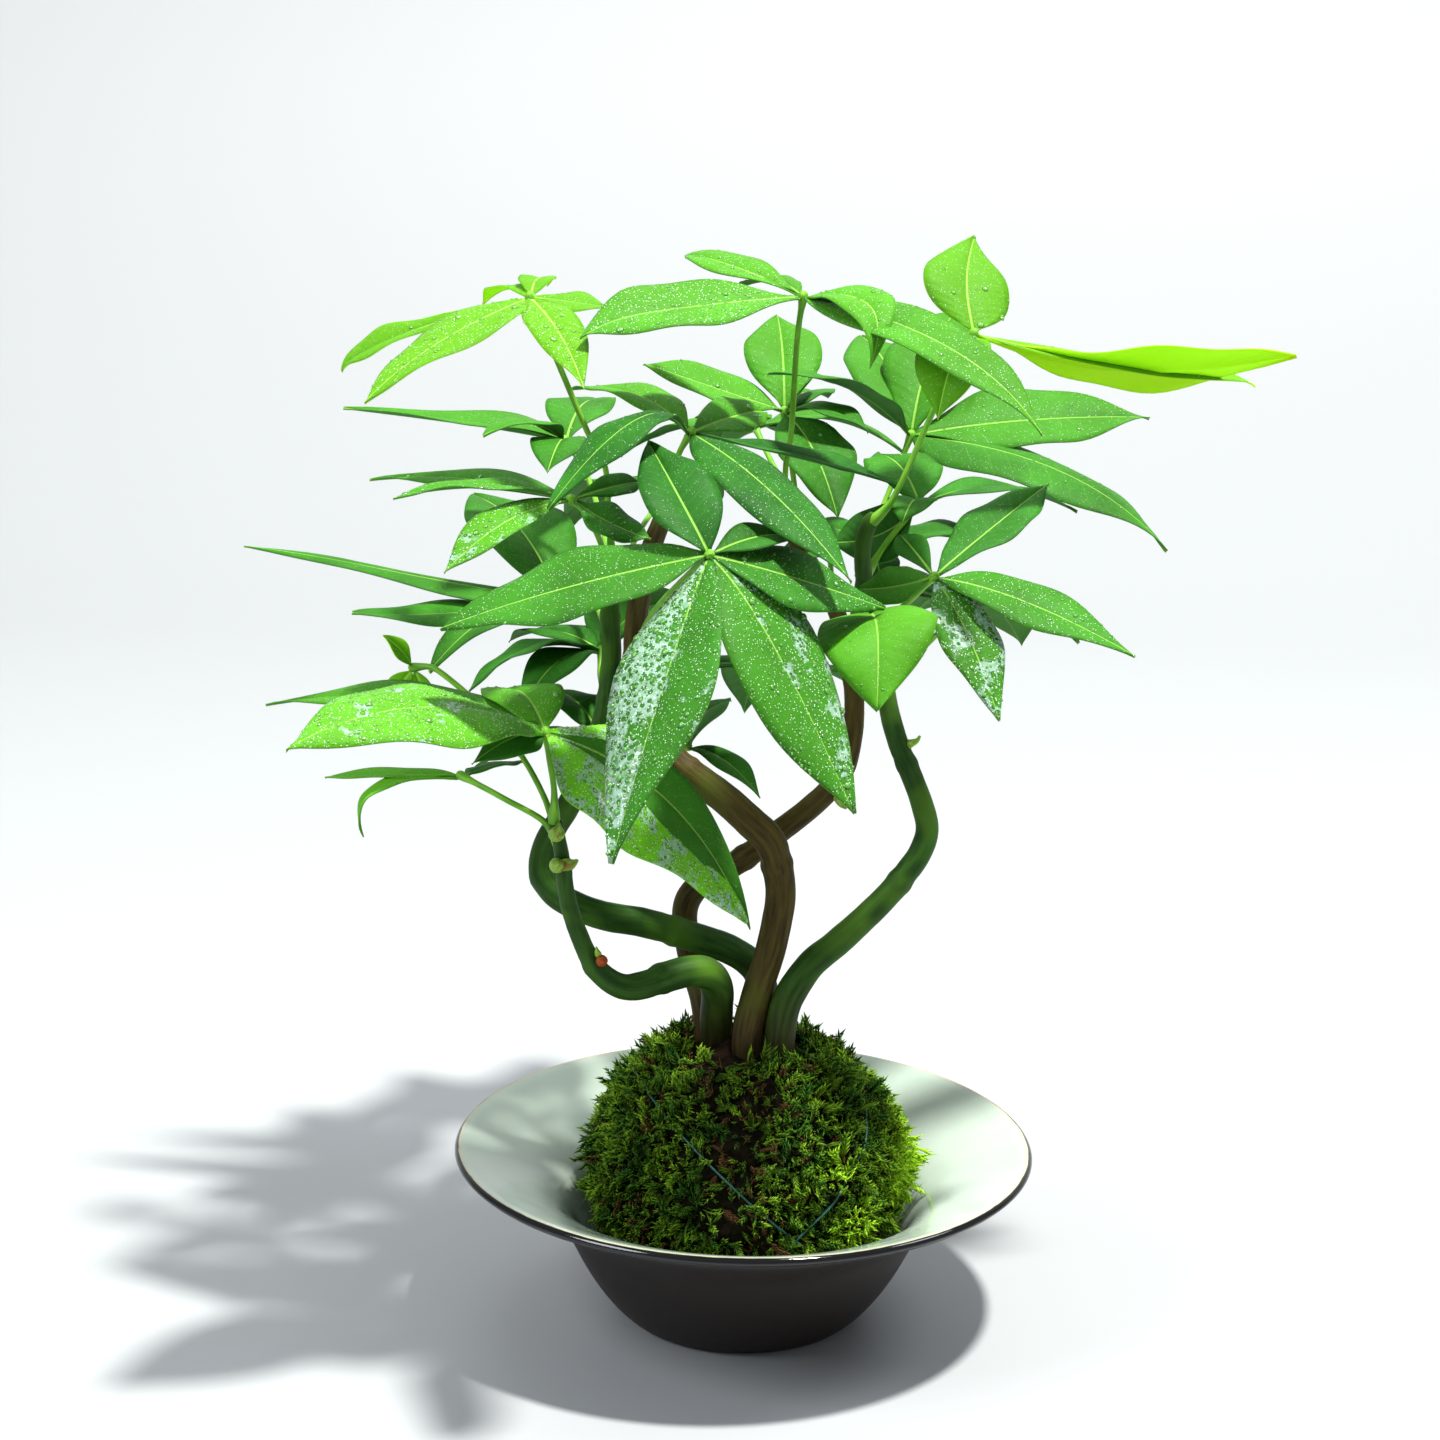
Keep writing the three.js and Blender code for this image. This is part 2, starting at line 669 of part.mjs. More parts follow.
// One loop of thread, a tilted ring that lies on the moss and follows its tufts
function threadLoop(turn) {
  const ringRadius = mossRadius + threadLift;
  const flattening = (mossHalfHeight + threadLift) / ringRadius;
  const loop = new THREE.TorusGeometry(ringRadius, threadRadius, 4, threadSteps);
  loop.rotateX(radians(threadTilt)).rotateZ(radians(turn));
  const position = loop.attributes.position;
  for (let i = 0; i < position.count; i += 1) {
    const point = new THREE.Vector3().fromBufferAttribute(position, i);
    const height = ballCentre + point.z * flattening;
    const relief = Math.max(0, mossRelief(Math.atan2(point.y, point.x), height));
    const outward = 1 + relief / ringRadius;
    position.setXYZ(i, point.x * outward, point.y * outward, height);
  }
  return loop;
}

const plant = new THREE.Group();

function addPiece(name, geometry, material) {
  const piece = new THREE.Mesh(geometry, material);
  piece.name = name;
  plant.add(piece);
}

const grownStems = joined(stems.map((stem) => stemRod(stem, clearance)));
addPiece("bowl", bowlGeometry(), glaze);
addPiece("soil_ball", toGeometry(soilBallSolid(grownStems)), soil);
addPiece("moss_coat", mossCoatGeometry(), moss);
addPiece("binding_thread", toGeometry(joined(threadTurns.map(threadLoop))), thread);
for (const stem of stems) {
  addPiece(stem.name, stemRod(stem), stem.bark);
}
for (const leaf of leaves) {
  addPiece(leaf.name, leafGeometry(leaf), leaf.young ? youngLeaf : grownLeaf);
}

export default plant;
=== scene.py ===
# Moss ball plant: a money tree whose root ball is wrapped in moss and stands in a glazed bowl.
# The plant's tables are in millimetres, on the same points as its solids. Meshes are in metres.
import bpy
import math
import numpy as np
from mathutils import Matrix, Vector, noise


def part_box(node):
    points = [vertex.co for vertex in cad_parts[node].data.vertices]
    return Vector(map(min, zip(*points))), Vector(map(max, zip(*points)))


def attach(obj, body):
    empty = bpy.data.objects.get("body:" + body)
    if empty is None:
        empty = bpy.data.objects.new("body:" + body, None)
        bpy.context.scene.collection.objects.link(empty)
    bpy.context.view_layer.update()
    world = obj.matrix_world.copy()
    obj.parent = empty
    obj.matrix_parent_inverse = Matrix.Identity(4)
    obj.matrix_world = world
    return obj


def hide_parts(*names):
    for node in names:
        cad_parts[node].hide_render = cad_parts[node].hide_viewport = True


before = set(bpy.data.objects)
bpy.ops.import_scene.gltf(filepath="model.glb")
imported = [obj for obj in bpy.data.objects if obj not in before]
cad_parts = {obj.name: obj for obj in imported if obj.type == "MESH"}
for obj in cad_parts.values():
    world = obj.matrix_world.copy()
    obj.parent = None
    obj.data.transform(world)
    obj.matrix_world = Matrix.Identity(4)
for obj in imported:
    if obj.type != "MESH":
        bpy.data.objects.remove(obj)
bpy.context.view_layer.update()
mm = 0.001
print("frame loaded:", len(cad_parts), "solids")


# Small helpers for colours, nodes and meshes

def linear(hexColour):
    channels = [int(hexColour[place:place + 2], 16) / 255 for place in (1, 3, 5)]
    return [c / 12.92 if c <= 0.04045 else ((c + 0.055) / 1.055) ** 2.4 for c in channels] + [1.0]


def setInputs(node, inputs):
    # An input takes a value, a hex colour, a socket, or a node, which gives its first output in use
    for key, value in inputs.items():
        if isinstance(value, bpy.types.Node):
            value = next(socket for socket in value.outputs if socket.enabled)
        if isinstance(value, bpy.types.NodeSocket):
            node.id_data.links.new(value, node.inputs[key])
            continue
        isColour = isinstance(value, str) and value.startswith("#")
        node.inputs[key].default_value = linear(value) if isColour else value


def addNode(tree, kind, inputs=None, **settings):
    node = tree.nodes.new(kind)
    for name, value in settings.items():
        setattr(node, name, value)
    setInputs(node, inputs or {})
    return node


def newMaterial(name, **shaderValues):
    material = bpy.data.materials.new(name)
    material.use_nodes = True
    tree = material.node_tree
    shader = tree.nodes["Principled BSDF"]
    setInputs(shader, {socket.replace("_", " "): value for socket, value in shaderValues.items()})
    return material, tree, shader


def addObject(name, data):
    made = bpy.data.objects.new(name, data)
    bpy.context.scene.collection.objects.link(made)
    return made


def addPiece(name, mesh, slot, *replaced):
    piece = addObject(name, mesh)
    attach(piece, "root")
    if replaced:
        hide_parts(*replaced)
    return piece


def meshFrom(name, vertices, faces, attributes=None, material=None):
    mesh = bpy.data.meshes.new(name)
    mesh.from_pydata([tuple(vertex) for vertex in vertices], [], [tuple(face) for face in faces])
    for label, values in (attributes or {}).items():
        values = np.asarray(values, dtype=np.float32)
        kind = "FLOAT_VECTOR" if values.ndim == 2 else "FLOAT"
        layer = mesh.attributes.new(label, kind, "POINT")
        layer.data.foreach_set("vector" if values.ndim == 2 else "value", values.ravel())
    mesh.polygons.foreach_set("use_smooth", [True] * len(mesh.polygons))
    if material:
        mesh.materials.append(material)
    mesh.update()
    return mesh


def lathe(profile, segments):
    # Spins (radius, height) points round the Z axis. A radius of 0 makes a pole.
    vertices, faces, rings = [], [], []
    for radius, height in profile:
        if radius < 1e-9:
            rings.append([len(vertices)] * segments)
            vertices.append((0.0, 0.0, height))
            continue
        rings.append(list(range(len(vertices), len(vertices) + segments)))
        for step in range(segments):
            angle = 2 * math.pi * step / segments
            vertices.append((radius * math.cos(angle), radius * math.sin(angle), height))
    for lower, upper in zip(rings, rings[1:]):
        for step in range(segments):
            beside = (step + 1) % segments
            corners = [lower[step], lower[beside], upper[beside], upper[step]]
            faces.append(list(dict.fromkeys(corners)))
    return np.array(vertices), faces


def through(points, spacing):
    # A smooth curve through the points, sampled at even steps of its length
    points = [np.array(point, dtype=float) for point in points]
    ends = [2 * points[0] - points[1], *points, 2 * points[-1] - points[-2]]
    fine = []
    for before, start, end, after in zip(ends, ends[1:], ends[2:], ends[3:]):
        gaps = [max(np.linalg.norm(b - a), 1e-6) ** 0.5
                for a, b in ((before, start), (start, end), (end, after))]
        out = (start - before) / gaps[0] - (end - before) / (gaps[0] + gaps[1]) + (end - start) / gaps[1]
        into = (end - start) / gaps[1] - (after - start) / (gaps[1] + gaps[2]) + (after - end) / gaps[2]
        out, into = out * gaps[1], into * gaps[1]
        for share in np.linspace(0, 1, 24, endpoint=False):
            square = -3 * start + 3 * end - 2 * out - into
            cube = 2 * start - 2 * end + out + into
            fine.append(start + out * share + square * share ** 2 + cube * share ** 3)
    fine = np.array(fine + [points[-1]])
    lengths = np.concatenate([[0], np.cumsum(np.linalg.norm(np.diff(fine, axis=0), axis=1))])
    steps = max(3, round(lengths[-1] / spacing))
    even = np.linspace(0, lengths[-1], steps + 1)
    return np.column_stack([np.interp(even, lengths, fine[:, axis]) for axis in range(3)]), even


# Geometry Nodes trees, each run on a helper mesh and turned to a plain mesh

def newTree(name, inputs):
    tree = bpy.data.node_groups.new(name, "GeometryNodeTree")
    tree.interface.new_socket("Geometry", in_out="OUTPUT", socket_type="NodeSocketGeometry")
    tree.interface.new_socket("Geometry", in_out="INPUT", socket_type="NodeSocketGeometry")
    for label, kind in inputs.items():
        tree.interface.new_socket(label, in_out="INPUT", socket_type="NodeSocket" + kind)
    return tree, addNode(tree, "NodeGroupInput").outputs


def endTree(tree, geometry, material):
    real = addNode(tree, "GeometryNodeRealizeInstances", {"Geometry": geometry})
    smooth = addNode(tree, "GeometryNodeSetShadeSmooth", {"Geometry": real})
    painted = addNode(tree, "GeometryNodeSetMaterial", {"Geometry": smooth, "Material": material})
    addNode(tree, "NodeGroupOutput", {"Geometry": painted})
    return tree


def runTree(tree, helperMesh, values):
    helper = addObject(tree.name + "Helper", helperMesh)
    modifier = helper.modifiers.new(tree.name, "NODES")
    modifier.node_group = tree
    for item in tree.interface.items_tree:
        if item.in_out == "INPUT" and item.name in values:
            modifier[item.identifier] = values[item.name]
    graph = bpy.context.evaluated_depsgraph_get()
    mesh = bpy.data.meshes.new_from_object(helper.evaluated_get(graph), depsgraph=graph)
    helper.modifiers.remove(modifier)
    bpy.data.objects.remove(helper)
    return mesh


def tubeTree():
    # A round tube along each path, as thick as the path's "girth", with "barkPlace" laid out along it
    tree, given = newTree("tubeAlongPath", {"Sides": "Int", "Lumps": "Float", "Lump Size": "Float",
                                            "Material": "Material"})
    girth = addNode(tree, "GeometryNodeInputNamedAttribute", {"Name": "girth"}, data_type="FLOAT")
    path = addNode(tree, "GeometryNodeMeshToCurve", {"Mesh": given["Geometry"]})
    length = addNode(tree, "GeometryNodeSplineParameter").outputs["Length"]
    path = addNode(tree, "GeometryNodeStoreNamedAttribute",
                   {"Geometry": path, "Name": "along", "Value": length}, data_type="FLOAT")
    circle = addNode(tree, "GeometryNodeCurvePrimitiveCircle",
                     {"Resolution": given["Sides"], "Radius": 1.0})
    position = addNode(tree, "GeometryNodeInputPosition")
    circle = addNode(tree, "GeometryNodeStoreNamedAttribute",
                     {"Geometry": circle, "Name": "ring", "Value": position}, data_type="FLOAT_VECTOR")
    tube = addNode(tree, "GeometryNodeCurveToMesh", {
        "Curve": path, "Profile Curve": circle, "Scale": girth, "Fill Caps": True})
    ring = addNode(tree, "GeometryNodeInputNamedAttribute", {"Name": "ring"}, data_type="FLOAT_VECTOR")
    around = addNode(tree, "ShaderNodeVectorMath", {0: ring, "Scale": girth}, operation="SCALE")
    along = addNode(tree, "GeometryNodeInputNamedAttribute", {"Name": "along"}, data_type="FLOAT")
    upward = addNode(tree, "ShaderNodeCombineXYZ", {"Z": along})
    laid = addNode(tree, "ShaderNodeVectorMath", {0: around, 1: upward}, operation="ADD")
    tube = addNode(tree, "GeometryNodeStoreNamedAttribute",
                   {"Geometry": tube, "Name": "barkPlace", "Value": laid}, data_type="FLOAT_VECTOR")
    scale = addNode(tree, "ShaderNodeMath", {0: 1.0, 1: given["Lump Size"]}, operation="DIVIDE")
    lumps = addNode(tree, "ShaderNodeTexNoise", {"Vector": laid, "Scale": scale, "Detail": 3.0})
    centred = addNode(tree, "ShaderNodeMath", {0: lumps, 1: 0.5}, operation="SUBTRACT")
    height = addNode(tree, "ShaderNodeMath", {0: centred, 1: given["Lumps"]}, operation="MULTIPLY")
    normal = addNode(tree, "GeometryNodeInputNormal")
    offset = addNode(tree, "ShaderNodeVectorMath", {0: normal, "Scale": height}, operation="SCALE")
    tube = addNode(tree, "GeometryNodeSetPosition", {"Geometry": tube, "Offset": offset})
    return endTree(tree, tube, given["Material"])


def scatterTree(name, favourSmall):
    # Copies of a shape on a surface: as dense as the surface's "cover" says, turned to its normal, leaning.
    # A favourSmall above 1 makes more of the copies small.
    tree, given = newTree(name, {"Shape": "Object", "Density": "Float", "Spacing": "Float", "Seed": "Int",
                                 "Smallest": "Float", "Largest": "Float", "Lean": "Float",
                                 "Flatness": "Float", "Material": "Material"})
    cover = addNode(tree, "GeometryNodeInputNamedAttribute", {"Name": "cover"}, data_type="FLOAT")
    points = addNode(tree, "GeometryNodeDistributePointsOnFaces", {
        "Mesh": given["Geometry"], "Distance Min": given["Spacing"], "Density Max": given["Density"],
        "Density Factor": cover, "Seed": given["Seed"]}, distribute_method="POISSON")
    backward = addNode(tree, "ShaderNodeMath", {0: given["Lean"], 1: -1.0}, operation="MULTIPLY")
    least = addNode(tree, "ShaderNodeCombineXYZ", {"X": backward, "Y": backward, "Z": -math.pi})
    most = addNode(tree, "ShaderNodeCombineXYZ", {"X": given["Lean"], "Y": given["Lean"], "Z": math.pi})
    lean = addNode(tree, "FunctionNodeRandomValue",
                   {0: least, 1: most, "Seed": given["Seed"]}, data_type="FLOAT_VECTOR")
    turned = addNode(tree, "FunctionNodeRotateRotation", {
        "Rotation": points.outputs["Rotation"], "Rotate By": lean}, rotation_space="LOCAL")
    even = addNode(tree, "FunctionNodeRandomValue",
                   {2: 0.0, 3: 1.0, "Seed": given["Seed"]}, data_type="FLOAT")
    small = addNode(tree, "ShaderNodeMath", {0: even, 1: favourSmall}, operation="POWER")
    size = addNode(tree, "ShaderNodeMapRange", {
        "Value": small, "To Min": given["Smallest"], "To Max": given["Largest"]})
    flat = addNode(tree, "ShaderNodeMath", {0: size, 1: given["Flatness"]}, operation="MULTIPLY")
    scale = addNode(tree, "ShaderNodeCombineXYZ", {"X": size, "Y": size, "Z": flat})
    shape = addNode(tree, "GeometryNodeObjectInfo", {"Object": given["Shape"], "As Instance": True})
    copies = addNode(tree, "GeometryNodeInstanceOnPoints", {
        "Points": points.outputs["Points"], "Instance": shape.outputs["Geometry"],
        "Rotation": turned, "Scale": scale})
    tone = addNode(tree, "FunctionNodeRandomValue", {2: 0.0, 3: 1.0, "Seed": 7}, data_type="FLOAT")
    copies = addNode(tree, "GeometryNodeStoreNamedAttribute", {
        "Geometry": copies, "Name": "tone", "Value": tone}, data_type="FLOAT", domain="INSTANCE")
    return endTree(tree, copies, given["Material"])


def scatter(name, surface, shape, favourSmall, layer, material):
    mesh = runTree(scatterTree(name, favourSmall), surface, {
        "Shape": shape, "Density": layer["density"] / mm ** 2, "Spacing": layer["spacing"] * mm,
        "Seed": layer["seed"], "Smallest": layer["small"] * mm, "Largest": layer["large"] * mm,
        "Lean": layer["lean"], "Flatness": layer["flatness"], "Material": material})
    bpy.data.objects.remove(shape)
    print(name, len(mesh.polygons), "faces")
    return mesh


# Materials

def mottled(tree, place, size, detail, low, high):
    # Soft patches of about a size in millimetres: 0 where a noise is below low, 1 where it is above high
    patches = addNode(tree, "ShaderNodeTexNoise",
                      {"Vector": place, "Scale": 1 / (size * mm), "Detail": detail})
    return addNode(tree, "ShaderNodeMapRange", {"Value": patches, "From Min": low, "From Max": high})


def glazedStoneware(look):
    # Thrown stoneware: glassy pale celadon inside, an iron-dark band on the lip, bare dull clay outside
    # whose colour is darkened past its own as painted shade.
    # The band's edges wander a little, as poured glaze does.
    material, tree, shader = newMaterial("glazedStoneware", IOR=1.5)
    place = addNode(tree, "ShaderNodeTexCoord").outputs["Object"]
    wall = addNode(tree, "ShaderNodeAttribute", attribute_name="wallPlace").outputs["Fac"]
    wander = addNode(tree, "ShaderNodeTexNoise",
                     {"Vector": place, "Scale": 1 / (look["wanderSize"] * mm), "Detail": 2.0})
    wander = addNode(tree, "ShaderNodeMath", {0: wander, 1: 0.5}, operation="SUBTRACT")
    wall = addNode(tree, "ShaderNodeMath", {0: wander, 1: look["wander"], 2: wall},
                   operation="MULTIPLY_ADD")
    pooled = addNode(tree, "ShaderNodeTexNoise",
                     {"Vector": place, "Scale": 1 / (look["poolSize"] * mm), "Detail": 4.0})
    inside = addNode(tree, "ShaderNodeMix",
                     {0: pooled, 6: look["celadon"], 7: look["celadonThin"]}, data_type="RGBA")
    grit = addNode(tree, "ShaderNodeTexNoise",
                   {"Vector": place, "Scale": 1 / (look["gritSize"] * mm), "Detail": 6.0})
    clay = addNode(tree, "ShaderNodeMix", {0: grit, 6: look["clay"], 7: look["paleClayWithPaintedShade"]}, data_type="RGBA")

    colour = inside
    for (edge, blur), over in [(look["creamEdge"], look["cream"]), (look["darkEdge"], look["ironBlack"]),
                               (look["clayEdge"], clay)]:
        past = addNode(tree, "ShaderNodeMapRange", {
            "Value": wall, "From Min": edge - blur, "From Max": edge + blur})
        colour = addNode(tree, "ShaderNodeMix", {0: past, 6: colour, 7: over}, data_type="RGBA")
    rough = addNode(tree, "ShaderNodeMapRange", {
        "Value": past, "To Min": look["glazeRoughness"], "To Max": look["clayRoughness"]})
    ripple = addNode(tree, "ShaderNodeTexNoise",
                     {"Vector": place, "Scale": 1 / (look["rippleSize"] * mm), "Detail": 1.0})
    bump = addNode(tree, "ShaderNodeBump", {
        "Height": grit, "Strength": look["gritRelief"], "Distance": look["gritDepth"] * mm})
    bump = addNode(tree, "ShaderNodeBump", {
        "Height": ripple, "Strength": look["rippleRelief"], "Distance": look["rippleDepth"] * mm,
        "Normal": bump})
    setInputs(shader, {"Base Color": colour, "Roughness": rough, "Normal": bump})
    return material


def waxyLeaf(name, look):
    # Leaf blade: a waxy green skin over juicy tissue that lets light through, with a pale raised midrib
    # and side veins. Sprayed water lies on it as fine specks, whose pale colour is a painted glint, and
    # where it is wettest as a film, whose milky colour is a painted sheen.
    # "leafletPlace" holds the share along, the share across and the millimetres across; "leafletLook"
    # holds youth, which also carries painted light and shade, wetness, which also sets the painted sheen,
    # and 1 on the underside.
    material, tree, shader = newMaterial(
        name, IOR=1.45, Specular_IOR_Level=0.12, Subsurface_Weight=look["glow"], Coat_Roughness=0.12,
        Subsurface_Radius=(0.6, 1.0, 0.25), Subsurface_Scale=look["glowDepth"] * mm)
    place = addNode(tree, "ShaderNodeTexCoord").outputs["Object"]
    onLeaflet = addNode(tree, "ShaderNodeAttribute", attribute_name="leafletPlace").outputs["Vector"]
    spot = addNode(tree, "ShaderNodeSeparateXYZ", {0: onLeaflet}).outputs
    traits = addNode(tree, "ShaderNodeAttribute", attribute_name="leafletLook").outputs["Vector"]
    traits = addNode(tree, "ShaderNodeSeparateXYZ", {0: traits}).outputs
    across = addNode(tree, "ShaderNodeMath", {0: spot["Y"]}, operation="ABSOLUTE")

    patches = mottled(tree, place, look["patchSize"], 3.0, 0.3, 0.7)

    # Side veins leave the midrib at a slant, in turn on the left and on the right
    side = addNode(tree, "ShaderNodeMath", {0: spot["Y"], 1: 0.0}, operation="GREATER_THAN")
    slant = addNode(tree, "ShaderNodeMath", {0: across, 1: -look["veinSlant"], 2: spot["X"]},
                    operation="MULTIPLY_ADD")
    phase = addNode(tree, "ShaderNodeMath", {0: slant, 1: look["sideVeins"]}, operation="MULTIPLY")
    phase = addNode(tree, "ShaderNodeMath", {0: side, 1: 0.5, 2: phase}, operation="MULTIPLY_ADD")
    cell = addNode(tree, "ShaderNodeMath", {0: phase, 1: 0.5}, operation="PINGPONG")
    vein = addNode(tree, "ShaderNodeMapRange", {
        "Value": cell, "From Min": look["veinWidth"], "From Max": 0.0}, interpolation_type="SMOOTHSTEP")
    fade = addNode(tree, "ShaderNodeMapRange", {
        "Value": across, "From Min": look["veinEnd"], "From Max": 1.0, "To Min": 1.0, "To Max": 0.0})
    vein = addNode(tree, "ShaderNodeMath", {0: vein, 1: fade}, operation="MULTIPLY")
    veinTint = addNode(tree, "ShaderNodeMath", {0: vein, 1: look["veinTint"]}, operation="MULTIPLY")

    # The midrib narrows towards the tip
    width = addNode(tree, "ShaderNodeMapRange", {
        "Value": spot["X"], "To Min": look["ribAtBase"], "To Max": look["ribAtTip"]})
    fromRib = addNode(tree, "ShaderNodeMath", {0: spot["Z"]}, operation="ABSOLUTE")
    fromRib = addNode(tree, "ShaderNodeMath", {0: fromRib, 1: width}, operation="DIVIDE")
    rib = addNode(tree, "ShaderNodeMapRange", {
        "Value": fromRib, "From Min": 1.0, "From Max": look["ribCore"]}, interpolation_type="SMOOTHSTEP")
    under = addNode(tree, "ShaderNodeMath", {0: traits["Z"], 1: look["underShare"]}, operation="MULTIPLY")

    # The film gathers in patches, which join up where the leaflet is wettest. Its milky colour, rippled
    # across it, is a painted sheen: the reflection of a bright light painted into the colour.
    pools = addNode(tree, "ShaderNodeTexNoise",
                    {"Vector": place, "Scale": 1 / (look["poolSize"] * mm), "Detail": 5.0})
    pools = addNode(tree, "ShaderNodeMath", {0: traits["Y"], 1: look["poolReach"], 2: pools},
                    operation="MULTIPLY_ADD")
    film = addNode(tree, "ShaderNodeMapRange", {
        "Value": pools, "From Min": look["poolFrom"], "From Max": look["poolFrom"] + look["edgeBlur"]})
    ripples = addNode(tree, "ShaderNodeMapping", {"Vector": onLeaflet, "Scale": look["ripples"]})
    ripples = addNode(tree, "ShaderNodeTexNoise", {"Vector": ripples, "Scale": 1.0, "Detail": 3.0})
    milky = addNode(tree, "ShaderNodeMapRange", {
        "Value": ripples, "From Min": look["rippleLow"], "From Max": look["rippleHigh"],
        "To Min": look["milkyLeast"], "To Max": look["milky"]})
    milky = addNode(tree, "ShaderNodeMath", {0: film, 1: milky}, operation="MULTIPLY")

    # Clear drops stand in the film: inside each the painted sheen is left out so the green shows, and the
    # dark rim round it is painted shade standing in for the light bent away at the drop's edge
    drops = addNode(tree, "ShaderNodeTexVoronoi", {
        "Vector": place, "Scale": 1 / (look["dropGap"] * mm), "Randomness": 0.7}).outputs["Distance"]
    outside = addNode(tree, "ShaderNodeMapRange", {
        "Value": drops, "From Min": look["dropReach"], "From Max": look["dropReach"] + look["edgeBlur"]})
    milky = addNode(tree, "ShaderNodeMath", {0: outside, 1: milky}, operation="MULTIPLY")
    fromEdge = addNode(tree, "ShaderNodeMath", {0: drops, 1: look["dropReach"]}, operation="SUBTRACT")
    fromEdge = addNode(tree, "ShaderNodeMath", {0: fromEdge}, operation="ABSOLUTE")
    dropRim = addNode(tree, "ShaderNodeMapRange", {
        "Value": fromEdge, "From Min": look["rimWidth"], "From Max": look["rimCore"],
        "To Max": look["dropRim"]})
    dropRim = addNode(tree, "ShaderNodeMath", {0: dropRim, 1: film}, operation="MULTIPLY")

    # The finest spray lies in specks, which are larger where the leaflet is wetter; their pale colour is a
    # painted glint of each tiny drop, not the water's own colour
    spray = addNode(tree, "ShaderNodeTexVoronoi",
                    {"Vector": place, "Scale": 1 / (look["speckGap"] * mm)}).outputs["Distance"]
    reach = addNode(tree, "ShaderNodeMath", {0: traits["Y"], 1: look["speckReach"], 2: look["speckLeast"]},
                    operation="MULTIPLY_ADD")
    spray = addNode(tree, "ShaderNodeMath", {0: spray, 1: reach}, operation="DIVIDE")
    speck = addNode(tree, "ShaderNodeMapRange", {
        "Value": spray, "From Min": 1.0, "From Max": look["speckCore"], "To Max": look["speckTint"]})

    # Each colour covers those before it by its share
    colour = look["deep"]
    for share, over in [(patches, "green"), (traits["X"], "lime"), (veinTint, "rib"), (rib, "rib"),
                        (under, "undersideAndPaintedBacklight"), (milky, "film"), (dropRim, "deep"), (speck, "speck")]:
        colour = addNode(tree, "ShaderNodeMix", {0: share, 6: colour, 7: look[over]}, data_type="RGBA")

    grain = addNode(tree, "ShaderNodeTexNoise",
                    {"Vector": place, "Scale": 1 / (look["grainSize"] * mm), "Detail": 4.0})
    gloss = addNode(tree, "ShaderNodeMapRange", {
        "Value": film, "To Min": look["dry"], "To Max": look["wet"]})
    for value, share in [(grain, "grainGloss"), (traits["Z"], "underGloss")]:
        gloss = addNode(tree, "ShaderNodeMath", {0: value, 1: look[share], 2: gloss},
                        operation="MULTIPLY_ADD")
    height = grain
    for value, share in [(cell, "veinHeight"), (speck, "speckHeight")]:
        height = addNode(tree, "ShaderNodeMath", {0: value, 1: look[share], 2: height},
                         operation="MULTIPLY_ADD")
    bump = addNode(tree, "ShaderNodeBump", {
        "Height": height, "Strength": look["relief"], "Distance": look["reliefDepth"] * mm})
    wetCoat = addNode(tree, "ShaderNodeMath", {0: film, 1: look["filmCoat"]}, operation="MULTIPLY")
    setInputs(shader, {"Base Color": colour, "Roughness": gloss, "Coat Weight": wetCoat, "Normal": bump})
    return material


def waterBead(name, look):
    # Sprayed water: a bead does not let light through; its green is painted to stand in for the leaf seen
    # through clear water, it is painted darker round its rim where it is seen edge-on, as painted shade,
    # and its smooth dome catches the lamp
    material, tree, shader = newMaterial(name, IOR=1.333, Roughness=look["roughness"], Coat_Weight=1.0,
                                         Coat_Roughness=look["roughness"], Specular_IOR_Level=1.0)
    youth = addNode(tree, "ShaderNodeAttribute", attribute_name="youth").outputs["Fac"]
    colour = addNode(tree, "ShaderNodeMix", {0: youth, 6: look["onGrown"], 7: look["onYoung"]},
                     data_type="RGBA")
    # Painted shade: the bead is darker where it is seen edge-on
    rim = addNode(tree, "ShaderNodeLayerWeight", {"Blend": 0.4}).outputs["Facing"]
    colour = addNode(tree, "ShaderNodeMix", {0: rim, 6: colour, 7: look["rim"]}, data_type="RGBA")
    setInputs(shader, {"Base Color": colour})
    return material


def youngBark(name, look):
    # Living bark: a smooth satin skin, streaked along the stem and blotched, with fine length-wise furrows.
    # Near the soil it has turned to brown cork.
    material, tree, shader = newMaterial(name, IOR=1.45, Roughness=look["roughness"],
                                         Specular_IOR_Level=0.15)
    place = addNode(tree, "ShaderNodeAttribute", attribute_name="barkPlace").outputs["Vector"]
    stretched = addNode(tree, "ShaderNodeMapping", {"Vector": place, "Scale": look["stretch"]})
    streaks = mottled(tree, stretched, look["streakSize"], 5.0, 0.32, 0.68)
    colour = addNode(tree, "ShaderNodeMix", {0: streaks, 6: look["dark"], 7: look["light"]},
                     data_type="RGBA")
    whole = addNode(tree, "ShaderNodeTexCoord").outputs["Object"]
    blotches = mottled(tree, whole, look["blotchSize"], 2.0, 0.52, 0.68)
    colour = addNode(tree, "ShaderNodeMix", {0: blotches, 6: colour, 7: look["blotch"]}, data_type="RGBA")
    height = addNode(tree, "ShaderNodeSeparateXYZ", {0: whole}).outputs["Z"]
    low = addNode(tree, "ShaderNodeMapRange", {"Value": height, "From Min": look["corkTop"] * mm,
                                               "From Max": (look["corkTop"] - look["corkFade"]) * mm})
    cork = addNode(tree, "ShaderNodeMix", {0: streaks, 6: look["cork"], 7: look["corkPale"]},
                   data_type="RGBA")
    colour = addNode(tree, "ShaderNodeMix", {0: low, 6: colour, 7: cork}, data_type="RGBA")
    bump = addNode(tree, "ShaderNodeBump", {
        "Height": streaks, "Strength": look["relief"], "Distance": look["reliefDepth"] * mm})
    setInputs(shader, {"Base Color": colour, "Normal": bump})
    return material


